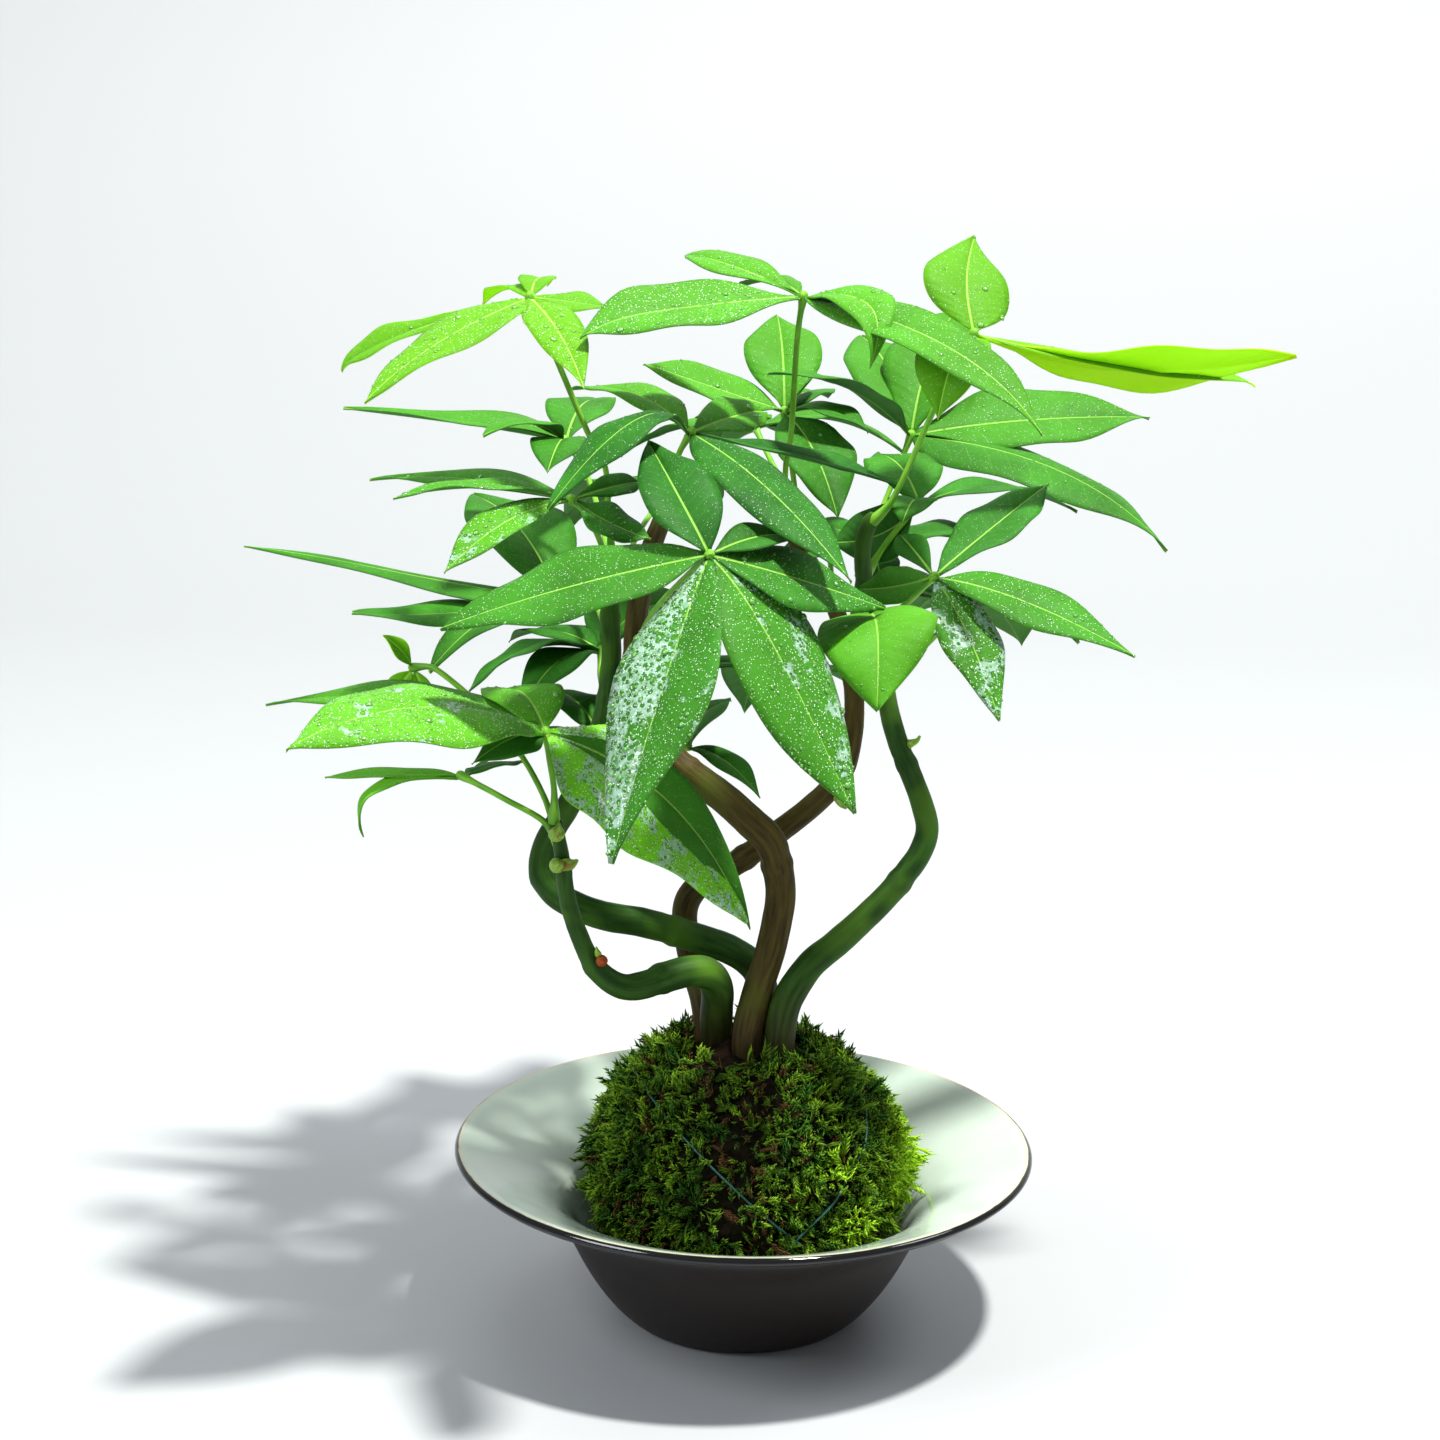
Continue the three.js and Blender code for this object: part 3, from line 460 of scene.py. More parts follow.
def livingMoss(name, look):
    # Feather moss: soft dull shoots, dark at the foot and bright at the tips, limp and brown here and
    # there. The lime colour is brightened past the moss's own as painted light, and on the lime spots it is
    # laid on as painted pools of light.
    material, tree, shader = newMaterial(
        name, IOR=1.4, Roughness=0.75, Specular_IOR_Level=0.2, Subsurface_Weight=0.15,
        Subsurface_Radius=(0.5, 0.9, 0.15), Subsurface_Scale=0.8 * mm)
    place = addNode(tree, "ShaderNodeTexCoord").outputs["Object"]
    tone, tipward, lime, bare = [
        addNode(tree, "ShaderNodeAttribute", attribute_name=trait).outputs["Fac"]
        for trait in ("tone", "tipward", "lime", "bare")]
    patches = mottled(tree, place, look["patchSize"], 3.0, 0.38, 0.62)
    bright = addNode(tree, "ShaderNodeMath", {0: patches, 1: tone}, operation="MULTIPLY")
    bright = addNode(tree, "ShaderNodeMath", {0: bright, 1: look["limeShare"]}, operation="MULTIPLY")
    bright = addNode(tree, "ShaderNodeMath", {0: bright, 1: lime}, operation="MAXIMUM")
    tips = addNode(tree, "ShaderNodeMix", {0: bright, 6: look["tip"], 7: look["lime"]}, data_type="RGBA")
    tipward = addNode(tree, "ShaderNodeMath", {0: lime, 1: look["paintedLightTipward"], 2: tipward},
                      operation="MULTIPLY_ADD", use_clamp=True)
    colour = addNode(tree, "ShaderNodeMix", {0: tipward, 6: look["foot"], 7: tips}, data_type="RGBA")
    limp = addNode(tree, "ShaderNodeMath", {0: bare, 1: look["deadNearBare"], 2: look["deadShare"]},
                   operation="MULTIPLY_ADD")
    dead = addNode(tree, "ShaderNodeMath", {0: tone, 1: limp}, operation="LESS_THAN")
    colour = addNode(tree, "ShaderNodeMix", {0: dead, 6: colour, 7: look["dead"]}, data_type="RGBA")
    setInputs(shader, {"Base Color": colour})
    return material


def dampSoil(name, look):
    # Damp peaty soil: near black, crumbly, with paler fibres
    material, tree, shader = newMaterial(name, IOR=1.4, Roughness=0.85, Specular_IOR_Level=0.1)
    place = addNode(tree, "ShaderNodeTexCoord").outputs["Object"]
    crumbs = addNode(tree, "ShaderNodeTexNoise",
                     {"Vector": place, "Scale": 1 / (look["crumbSize"] * mm), "Detail": 6.0})
    mixed = addNode(tree, "ShaderNodeMapRange", {
        "Value": crumbs, "From Min": look["paleFrom"], "From Max": look["paleTo"]})
    colour = addNode(tree, "ShaderNodeMix", {0: mixed, 6: look["dark"], 7: look["light"]}, data_type="RGBA")
    bump = addNode(tree, "ShaderNodeBump", {
        "Height": crumbs, "Strength": look["relief"], "Distance": look["reliefDepth"] * mm})
    setInputs(shader, {"Base Color": colour, "Normal": bump})
    return material


def spunThread(name, look):
    # Nylon sewing thread: two plies laid round each other, faintly shiny
    material, tree, shader = newMaterial(name, IOR=1.53, Roughness=0.4, Base_Color=look["colour"])
    place = addNode(tree, "ShaderNodeAttribute", attribute_name="barkPlace").outputs["Vector"]
    turned = addNode(tree, "ShaderNodeMapping", {"Vector": place, "Rotation": (look["lay"], 0.0, 0.0)})
    plies = addNode(tree, "ShaderNodeTexWave", {"Vector": turned, "Scale": 0.3 / (look["plyLength"] * mm)},
                    bands_direction="Z").outputs["Fac"]
    bump = addNode(tree, "ShaderNodeBump", {"Height": plies, "Strength": 0.6, "Distance": 0.1 * mm})
    setInputs(shader, {"Normal": bump})
    return material


# Bowl

bowlLook = {
    "celadon": "#9cae9f", "celadonThin": "#bcc8ba", "cream": "#b9b596", "ironBlack": "#08080a",
    # The clay colours are darker than the clay's own, as painted shade on the outside wall
    "clay": "#0e0703", "paleClayWithPaintedShade": "#1a0e06", "poolSize": 30, "gritSize": 0.8,
    "creamEdge": (-0.9, 0.2), "darkEdge": (-0.3, 0.15), "clayEdge": (2.7, 0.35), "wander": 0.5,
    "wanderSize": 6, "gritRelief": 0.2, "gritDepth": 0.1, "rippleRelief": 0.35, "rippleDepth": 0.4,
    "glazeRoughness": 0.06, "clayRoughness": 0.6, "rippleSize": 9,
    "floor": 5, "segments": 160, "step": 1.6, "lipStep": 0.25, "crest": 0.62, "middle": 16,
    "lip": [(-1.2, -2.4), (0, -1.1), (-0.8, 0), (-2.6, -0.3)],
    "outside": [(28, 0), (29.4, 0.7), (33, 4), (37.4, 9.6), (41, 15.6), (44.2, 22), (47.4, 28), (53, 33),
                (61.5, 37.6)],
    "inside": [(60.3, 40.4), (51.1, 35.6), (44.9, 30), (41.3, 23.6), (37.9, 17.4), (34, 11.6), (29.6, 6.9),
               (22, 5.2), (14, 5)],
}


def makeBowl(look):
    low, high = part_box("bowl")
    rim = (high.y - low.y) / 2 / mm
    height = high.z / mm
    lip = [(rim + inward, height + down) for inward, down in look["lip"]]
    outer, outerLengths = through([(r, 0, z) for r, z in [*look["outside"], lip[0]]], look["step"])
    inner, innerLengths = through([(r, 0, z) for r, z in [lip[-1], *look["inside"]]], look["step"])
    lip, lipLengths = through([(r, 0, z) for r, z in lip], look["lipStep"])
    crest = lipLengths[-1] * look["crest"]
    profile = [(0, 0, 0), *outer, *lip[1:-1], *inner, (0, 0, look["floor"])]
    places = [outerLengths[-1] + crest, *(outerLengths[-1] - outerLengths + crest),
              *(crest - lipLengths[1:-1]), *(crest - lipLengths[-1] - innerLengths),
              crest - lipLengths[-1] - innerLengths[-1] - look["middle"]]
    vertices, faces = lathe([(point[0] * mm, point[2] * mm) for point in profile], look["segments"])
    wall = []
    for point, place in zip(profile, places):
        wall += [place] if point[0] < 1e-6 else [place] * look["segments"]
    mesh = meshFrom("bowlMesh", vertices, faces, {"wallPlace": wall}, glazedStoneware(look))
    addPiece("glazedBowl", mesh, "bowl_glaze", "bowl")


makeBowl(bowlLook)
print("bowl made")


# Root ball: soil, moss coat, shoots and thread

ballLook = {
    "crownRadius": 17, "centre": 39.5, "radius": 40.5, "halfHeight": 38.5, "bottom": 5.3, "inset": 4.0,
    "innerInset": 5.4, "innerBottom": 7.3, "levels": 70, "innerLevels": 12, "segments": 150,
    "lumpSize": 7, "lumpHeight": 2.2, "fade": 3, "clumpSize": 6, "clumpShare": 1.3, "bareShare": 0.93,
    "coverFrom": 9, "coverFade": 4, "soilInset": 5.8, "soilBottom": 7.6, "soilShoulder": 70.8,
    "soilTop": [(0.5, 73.3), (0, 73.4)], "soilLevels": 60, "soilSegments": 96, "soilLumpSize": 3,
    "soilLumpHeight": 0.5, "spotHalfHeight": 42.5, "spotRise": 1.3,
    "bareSpots": [(-92, 70, 15), (-94, 58, 13), (-94, 47, 13), (-92, 36, 12), (-130, 32, 10), (-118, 24, 9),
                  (-70, 44, 6), (-80, 14, 8)],
    # The lime spots are painted light: places where the moss is painted bright lime where light falls on it
    "paintedLightSpots": [(-4, 40, 19), (-45, 34, 9), (-52, 50, 8), (-118, 52, 7), (-112, 24, 8)],
}
crumbLook = {"paleFrom": 0.4, "paleTo": 0.75, "relief": 0.7, "reliefDepth": 0.8}
soilLooks = {
    "mattedMoss": {"dark": "#080703", "light": "#20190a", "crumbSize": 1.8, **crumbLook},
    "dampSoil": {"dark": "#0d0805", "light": "#2b1e12", "crumbSize": 2.5, **crumbLook},
}


def mossRelief(azimuth, height):
    # How far the coat's tufts stand out, in millimetres; the largest is on the right
    tufts = 0.8 * np.sin(7 * azimuth + 0.11 * height) * np.cos(0.24 * height)
    smallTufts = 0.5 * np.sin(11 * azimuth - 0.31 * height)
    rightTuft = 5 * np.exp(-((azimuth / 0.3) ** 2) - ((height - 42) / 12) ** 2)
    return tufts + smallTufts + rightTuft


def ballArc(look, inset, lowest, highest, levels):
    # Points (radius, height) on the ball's round side, between two heights
    tall = look["halfHeight"] - inset
    angles = np.linspace(math.asin((lowest - look["centre"]) / tall),
                         math.asin((highest - look["centre"]) / tall), levels)
    return [((look["radius"] - inset) * math.cos(a), look["centre"] + tall * math.sin(a)) for a in angles]


def nearSpots(look, spots, points):
    # 1 at a spot's centre, falling to 0 at its edge; a spot is its azimuth, height and radius
    share = np.zeros(len(points))
    for azimuth, height, radius in spots:
        flat = look["radius"] * math.cos(math.asin((height - look["centre"]) / look["spotHalfHeight"]))
        centre = np.array([flat * math.cos(math.radians(azimuth)), flat * math.sin(math.radians(azimuth)),
                           height])
        gap = np.linalg.norm(points - centre, axis=1)
        share = np.maximum(share, np.clip(look["spotRise"] * (1 - gap / radius), 0, 1))
    return share


def lumpy(points, size, height):
    # Moves points in or out from the axis by smooth noise
    moved = points.copy()
    for index, point in enumerate(points):
        lift = noise.fractal(Vector(point) / size, 0.7, 2.0, 3) * height
        radius = math.hypot(point[0], point[1])
        if radius > 1e-3:
            moved[index, :2] *= 1 + lift / radius
    return moved


def makeRootBall(look):
    crown = look["crownRadius"]
    tall = look["halfHeight"]
    top = look["centre"] + tall * math.sqrt(1 - (crown / look["radius"]) ** 2)
    inset = look["innerInset"]
    insideTop = look["centre"] + (tall - inset) * math.sqrt(1 - (crown / (look["radius"] - inset)) ** 2)
    outside = ballArc(look, look["inset"], look["bottom"], top - look["inset"], look["levels"])
    inside = ballArc(look, inset, look["innerBottom"], insideTop, look["innerLevels"])[::-1]
    profile = [(0, look["bottom"]), *outside, *inside, (0, look["innerBottom"])]
    points, faces = lathe(profile, look["segments"])
    outer = np.zeros(len(points), dtype=bool)
    outer[1:1 + len(outside) * look["segments"]] = True
    azimuth = np.arctan2(points[:, 1], points[:, 0])
    radius = np.hypot(points[:, 0], points[:, 1])
    lift = mossRelief(azimuth, points[:, 2]) * np.clip((radius - crown) / look["fade"], 0, 1) * outer
    lift *= np.clip((points[:, 2] - look["bottom"]) / look["fade"], 0, 1)
    points[:, :2] *= (1 + lift / np.maximum(radius, 1))[:, None]
    points[outer] = lumpy(points[outer], look["lumpSize"], look["lumpHeight"])
    # Painted light: how near each point is to a lime spot, where the moss is painted as brightly lit
    bare = nearSpots(look, look["bareSpots"], points)
    lime = nearSpots(look, look["paintedLightSpots"], points)
    clumps = np.array([noise.noise(Vector(point) / look["clumpSize"]) for point in points])
    cover = np.clip(1 + look["clumpShare"] * clumps, 0.05, 1) * (1 - look["bareShare"] * bare) * outer
    cover *= np.clip((points[:, 2] - look["coverFrom"]) / look["coverFade"], 0, 1)
    traits = {"cover": cover, "lime": lime, "bare": bare}
    matted = dampSoil("mattedMoss", soilLooks["mattedMoss"])
    mesh = meshFrom("mossCoatMesh", points * mm, faces, traits, matted)
    addPiece("mossCoat", mesh, "moss", "moss_coat")

    soil = dampSoil("dampSoil", soilLooks["dampSoil"])
    arc = ballArc(look, look["soilInset"], look["soilBottom"], look["soilShoulder"], look["soilLevels"])
    top = [(arc[-1][0] * share, height) for share, height in look["soilTop"]]
    points, faces = lathe([(0, look["soilBottom"]), *arc, *top], look["soilSegments"])
    points = lumpy(points, look["soilLumpSize"], look["soilLumpHeight"])
    mesh = meshFrom("soilMesh", points * mm, faces, {}, soil)
    addPiece("soilBall", mesh, "soil", "soil_ball")


# The lime colour is partly the moss's own and partly painted light, brightened where the moss is lit
mossLook = {"patchSize": 8, "tip": "#2a5410", "lime": "#b0e62a", "foot": "#060c03", "dead": "#49311a",
            "limeShare": 0.6, "paintedLightTipward": 0.5, "deadShare": 0.03, "deadNearBare": 0.5}


def spike(base, tip, width):
    # A slim closed pyramid on three corners
    base, tip = np.array(base), np.array(tip)
    ahead = (tip - base) / np.linalg.norm(tip - base)
    helper = np.array([0.0, 0.0, 1.0]) if abs(ahead[2]) < 0.9 else np.array([1.0, 0.0, 0.0])
    sideways = np.cross(ahead, helper)
    sideways /= np.linalg.norm(sideways)
    third = np.cross(ahead, sideways)
    corners = [base + width * (math.cos(a) * sideways + 0.5 * math.sin(a) * third)
               for a in (0, 2 * math.pi / 3, 4 * math.pi / 3)]
    return [*corners, tip], [(0, 2, 1), (0, 1, 3), (1, 2, 3), (2, 0, 3)]


shootLook = {"stalkWidth": 0.05, "leafWidth": 0.11, "firstLeaf": 0.22, "leafSpread": 0.66, "reach": 0.3,
             "rise": 0.3, "lean": 0.3}


def shootShape(name, leaves, droop, look):
    # A moss shoot 1 unit long: a stalk with small pointed leaves to both sides, bending over
    vertices, faces, tipward = [], [], []

    def stand(share):
        return np.array([droop * share ** 2, 0.0, share * (1 - 0.25 * droop * share)])

    def put(base, tip, width, low, high):
        points, corners = spike(base, tip, width)
        faces.extend([tuple(len(vertices) + c for c in face) for face in corners])
        vertices.extend(points)
        tipward.extend([low] * 3 + [high])

    put(stand(0), stand(1), look["stalkWidth"], 0.0, 1.0)
    for index in range(leaves):
        share = look["firstLeaf"] + look["leafSpread"] * index / (leaves - 1)
        side = -1 if index % 2 else 1
        reach = look["reach"] * (1 - 0.5 * share)
        out = np.array([look["lean"] * droop, side * reach, look["rise"]])
        put(stand(share), stand(share) + out, look["leafWidth"], share * 0.6, min(1.0, share + 0.45))
    return addObject(name, meshFrom(name, vertices, faces, {"tipward": tipward}))


shootLayers = {
    "mossShootsLow": {"density": 0.95, "spacing": 0.85, "small": 2.4, "large": 4.2, "lean": 0.9, "seed": 3,
                      "leaves": 5, "droop": 0.45, "flatness": 1.0},
    "mossShootsTall": {"density": 0.45, "spacing": 1.3, "small": 3.6, "large": 5.8, "lean": 1.4, "seed": 11,
                       "leaves": 9, "droop": 0.8, "flatness": 1.0},
}


def growShoots(layers):
    coat = bpy.data.objects["mossCoat"]
    material = livingMoss("featherMoss", mossLook)
    for name, layer in layers.items():
        shoot = shootShape(name + "Shape", layer["leaves"], layer["droop"], shootLook)
        addPiece(name, scatter(name, coat.data.copy(), shoot, 1.0, layer, material), "moss")


def pathMesh(name, paths):
    # Edges along each path of (points, girths), with the girth kept on the points
    vertices, edges, girths = [], [], []
    for points, girth in paths:
        edges += [(len(vertices) + i, len(vertices) + i + 1) for i in range(len(points) - 1)]
        vertices += [tuple(point) for point in np.array(points) * mm]
        girths += list(np.array(girth) * mm)
    mesh = bpy.data.meshes.new(name)
    mesh.from_pydata(vertices, edges, [])
    layer = mesh.attributes.new("girth", "FLOAT", "POINT")
    layer.data.foreach_set("value", girths)
    return mesh


def tubesAlong(name, paths, look, material):
    return runTree(tubes, pathMesh(name + "Paths", paths), {
        "Sides": look["sides"], "Lumps": look["lumps"] * mm, "Lump Size": look["lumpSize"] * mm,
        "Material": material})


threadLook = {"colour": "#124f46", "plyLength": 1.2, "lay": 0.6, "girth": 0.28, "lift": -2.6, "tilt": 44,
              "turns": [-60, 100], "steps": 180, "sides": 6, "lumps": 0, "lumpSize": 1}


def windThread(look, ball):
    paths = []
    for turn in look["turns"]:
        angles = np.linspace(0, 2 * math.pi, look["steps"], endpoint=False)
        ring = np.column_stack([np.cos(angles), np.sin(angles), np.zeros(len(angles))])
        tilt = Matrix.Rotation(math.radians(look["tilt"]), 3, "X")
        tilt = Matrix.Rotation(math.radians(turn), 3, "Z") @ tilt
        ring = ring @ np.array(tilt).T
        height = ball["centre"] + (ball["halfHeight"] + look["lift"]) * ring[:, 2]
        relief = np.maximum(0, mossRelief(np.arctan2(ring[:, 1], ring[:, 0]), height))
        out = (ball["radius"] + look["lift"] + relief)[:, None] * ring[:, :2]
        loop = np.column_stack([out, height])
        loop = np.vstack([loop, loop[:1]])
        paths.append((loop, [look["girth"]] * len(loop)))
    mesh = tubesAlong("thread", paths, look, spunThread("spunThread", look))
    addPiece("bindingThread", mesh, "thread", "binding_thread")


tubes = tubeTree()
makeRootBall(ballLook)
growShoots(shootLayers)
windThread(threadLook, ballLook)
print("root ball made")


# Stems, each by the points of its middle line and its radii at even steps of its length

stems = {
    "stem_front": {
        "bark": "green", "knots": [0.44, 0.62, 0.86, 0.97],
        "radii": [4, 4.1, 4.1, 3.4, 2.3, 2, 1.5],
        "points": [(-7.5, 1.5, 60.5), (-7.5, 1, 76.5), (-7.5, -4, 87.5), (-10, -8, 92.5), (-14, -11, 94),
                   (-20, -14, 93.5), (-25, -17, 92.5), (-30, -19, 92.5), (-34.5, -20, 95),
                   (-38, -21, 99.5), (-41, -22, 106.5), (-43.5, -23, 114.5), (-44.5, -24, 120.5),
                   (-45, -25, 126.5), (-46, -26, 132.5), (-47, -27, 138.5)],
    },
    "stem_loop": {
        "bark": "green", "knots": [0.3, 0.52, 0.68, 0.8, 0.92],
        "radii": [3.8, 3.8, 3.8, 3.6, 3.2, 2.8, 2.5, 2.2],
        "points": [(5, 6.5, 60.5), (5, 7.5, 77.5), (2.5, 10, 87.5), (-4, 10.5, 92.5), (-11.5, 9.5, 95.5),
                   (-19, 7.5, 98.5), (-27.5, 5, 101.5), (-35, 2, 103.5), (-42, 0, 106.5), (-48, 0, 110),
                   (-51.5, 2, 115), (-51, 3, 120.5), (-48.5, 3, 126), (-45, 3, 132), (-40, 4, 142.5),
                   (-36.5, 7, 154.5), (-35, 9, 167.5), (-35.5, 9, 181.5), (-35, 8, 192.5)],
    },
    "stem_middle": {
        "bark": "brown", "knots": [0.35, 0.55, 0.74, 0.9],
        "radii": [3.8, 3.8, 3.8, 4, 3.6, 3.1, 2.6, 2.2],
        "points": [(0.5, -6.5, 60.5), (0.5, -5.5, 77.5), (3, -3, 87.5), (5.5, -1, 95.5), (7, 0, 102.5),
                   (8, 1, 110.5), (7, 1, 118), (5, 0, 124.5), (0, 0, 129.5), (-6, 0, 135), (-12, 0, 139.5),
                   (-17.5, 1, 143.5), (-23.5, 4, 149.5), (-27.5, 6, 158.5), (-29, 4, 171.5),
                   (-28, 0, 185.5), (-25, -4, 199.5), (-21, -8, 210.5)],
    },
    "stem_right": {
        "bark": "green", "knots": [0.4, 0.6, 0.76, 0.88],
        "radii": [4, 3.9, 3.4, 3, 2.7, 2.4, 2.2, 2],
        "points": [(8.5, -6, 60.5), (8.5, -6, 77.5), (10, -5, 84.5), (13, -4, 90), (16.5, -3, 94.5),
                   (22, -2, 99), (28, -1, 104.5), (33.5, 0, 110), (38.5, 1, 116), (42.5, 2, 122),
                   (44, 3, 127.5), (42.5, 3, 134), (39.5, 3, 141.5), (36.5, 3, 148.5), (34.5, 3, 154.5),
                   (33, 3, 160.5), (31, 4, 170.5), (28.5, 4, 180.5), (26.5, 4, 190.5), (26, 2, 199.5),
                   (28, 0, 207.5)],
    },
    "stem_rear": {
        "bark": "brown", "knots": [0.38, 0.56, 0.72, 0.88],
        "radii": [3.2, 3.3, 3.3, 3.1, 2.8, 2.5, 2.2, 2],
        "points": [(-10, 8, 60.5), (-10.5, 8.5, 77.5), (-14, 14, 88.5), (-16, 18, 97.5),
                   (-15.5, 19.5, 102), (-13, 20, 106), (-8.5, 20, 109), (-4, 20, 112), (1.5, 20, 116),
                   (8, 20, 121.5), (14, 20, 126.5), (19.5, 21, 131.5), (24, 22, 138.5), (26, 25, 152),
                   (24, 27, 167), (19, 26, 181.5), (12, 22, 193), (7.5, 18, 201.5)],
    },
}

# What all barks share: cork, streaks drawn out along the stem, and how deep the furrows go
barkLook = {"cork": "#1a120a", "corkPale": "#41331d", "corkFade": 22, "stretch": (1.0, 1.0, 0.12),
            "reliefDepth": 0.3}
barkLooks = {
    "green": {"dark": "#1b390f", "light": "#33591a", "blotch": "#466c1a", "streakSize": 1.6,
              "blotchSize": 20, "roughness": 0.5, "relief": 0.25, "corkTop": 92, **barkLook},
    "brown": {"dark": "#352c15", "light": "#584d20", "blotch": "#4a5118", "streakSize": 1.2,
              "blotchSize": 18, "roughness": 0.6, "relief": 0.35, "corkTop": 88, **barkLook},
}
stemLook = {"step": 1.0, "sides": 28, "lumps": 0.6, "lumpSize": 8, "knotSwell": 0.09, "knotLength": 1.3,
            "neck": 0.035, "neckGap": 2.6, "tip": [0.92, 0.75, 0.4]}

# Buds and stubs, each a short pointed path with its girths
budLook = {"streakSize": 0.6, "blotchSize": 3, "roughness": 0.4, "relief": 0.3, "corkTop": 0, **barkLook,
           "step": 0.35, "sides": 12, "lumps": 0.3, "lumpSize": 1.5}
budLooks = {
    "green": {"dark": "#5f8f2c", "light": "#9dc250", "blotch": "#7f7434", **budLook},
    "red": {"dark": "#7c2f12", "light": "#a8502a", "blotch": "#8a5a2c", **budLook},
}
buds = [
    ("green", [(-46.4, -26.5, 125.6), (-45.6, -28.6, 126.2), (-44.6, -28.8, 127.2)], [1.9, 1.7, 0.4]),
    ("green", [(-44.6, -26.6, 125.8), (-42.6, -27.6, 126.4), (-41.2, -27.8, 127.4)], [1.6, 1.4, 0.3]),
    ("green", [(-46.6, -27.2, 133.4), (-46, -29, 135), (-45.6, -29.4, 137)], [1.9, 1.6, 0.3]),
    ("green", [(-45.8, -28.8, 133.4), (-45, -29.6, 134), (-44.4, -29.8, 134.8)], [0.9, 0.8, 0.2]),
    ("red", [(-35.6, -22.2, 100.2), (-35.4, -23.8, 100.8), (-35.2, -24.6, 101.4)], [1.4, 1.5, 0.6]),
    ("green", [(-36.4, -22.6, 102), (-36.6, -23.8, 103.2), (-36.8, -24, 104.4)], [0.9, 0.7, 0.2]),
    ("green", [(38, 3, 149), (40.6, 1, 150.8), (41.2, 0.6, 152)], [1.4, 0.9, 0.3]),
    ("green", [(22, 20, 131), (23, 17, 129.4), (24.4, 16.4, 128.6)], [1.4, 0.9, 0.3]),
]


def makeStems(shape):
    materials = {kind: youngBark(kind + "Bark", look) for kind, look in barkLooks.items()}
    for node, stem in stems.items():
        points, lengths = through(stem["points"], shape["step"])
        shares = lengths / lengths[-1]
        girth = np.interp(shares, np.linspace(0, 1, len(stem["radii"])), stem["radii"])
        for knot in stem["knots"]:
            gap = (shares - knot) * lengths[-1]
            swell = shape["knotSwell"] * np.exp(-(gap / shape["knotLength"]) ** 2)
            girth *= 1 + swell - shape["neck"] * np.exp(-(gap - shape["neckGap"]) ** 2)
        girth[-3:] *= shape["tip"]
        mesh = tubesAlong(node, [(points, girth)], shape, materials[stem["bark"]])
        words = node.split("_")
        addPiece(words[1] + "Stem", mesh, stem["bark"] + "_bark", node)
    for kind, look in budLooks.items():
        paths = []
        for points, girths in [bud[1:] for bud in buds if bud[0] == kind]:
            points, lengths = through(points, look["step"])
            shares = np.linspace(0, 1, len(points))
            paths.append((points, np.interp(shares, np.linspace(0, 1, len(girths)), girths)))
        mesh = tubesAlong(kind + "Bud", paths, look, youngBark(kind + "BudSkin", look))
        addPiece(kind + "Buds", mesh, "green_bark")


makeStems(stemLook)
print("stems made")


# Leaves, each by the points of its petiole, which ends at the hub, and by its leaflets. A leaflet is its
# bearing from +X and its rise in degrees, its length, width and arch, its roll in degrees, its youth from
# 0 (grown, dark) to 1 (young, lime), which also holds painted light and shade: it is set higher on leaflets
# that stand in shade to paint them brighter, lower to paint shade on one, and high on backlit ones to paint
# the light through them; and its wetness from 0 to 1, which also sets the painted sheen of its film. One
# that differs from the rest goes on with how much its halves fold up, how far it bows to a side, how far
# along its curve's middle lies, where it is widest, how far its tip curls down, how fast it tapers, and
# which half is the wetter one and carries the painted sheen.
leafletParts = ["bearing", "rise", "length", "width", "arch", "roll", "youth", "wetnessAndSheen",
                "fold", "sway", "middle", "widest", "curl", "taper", "wetAndSheenHalf"]

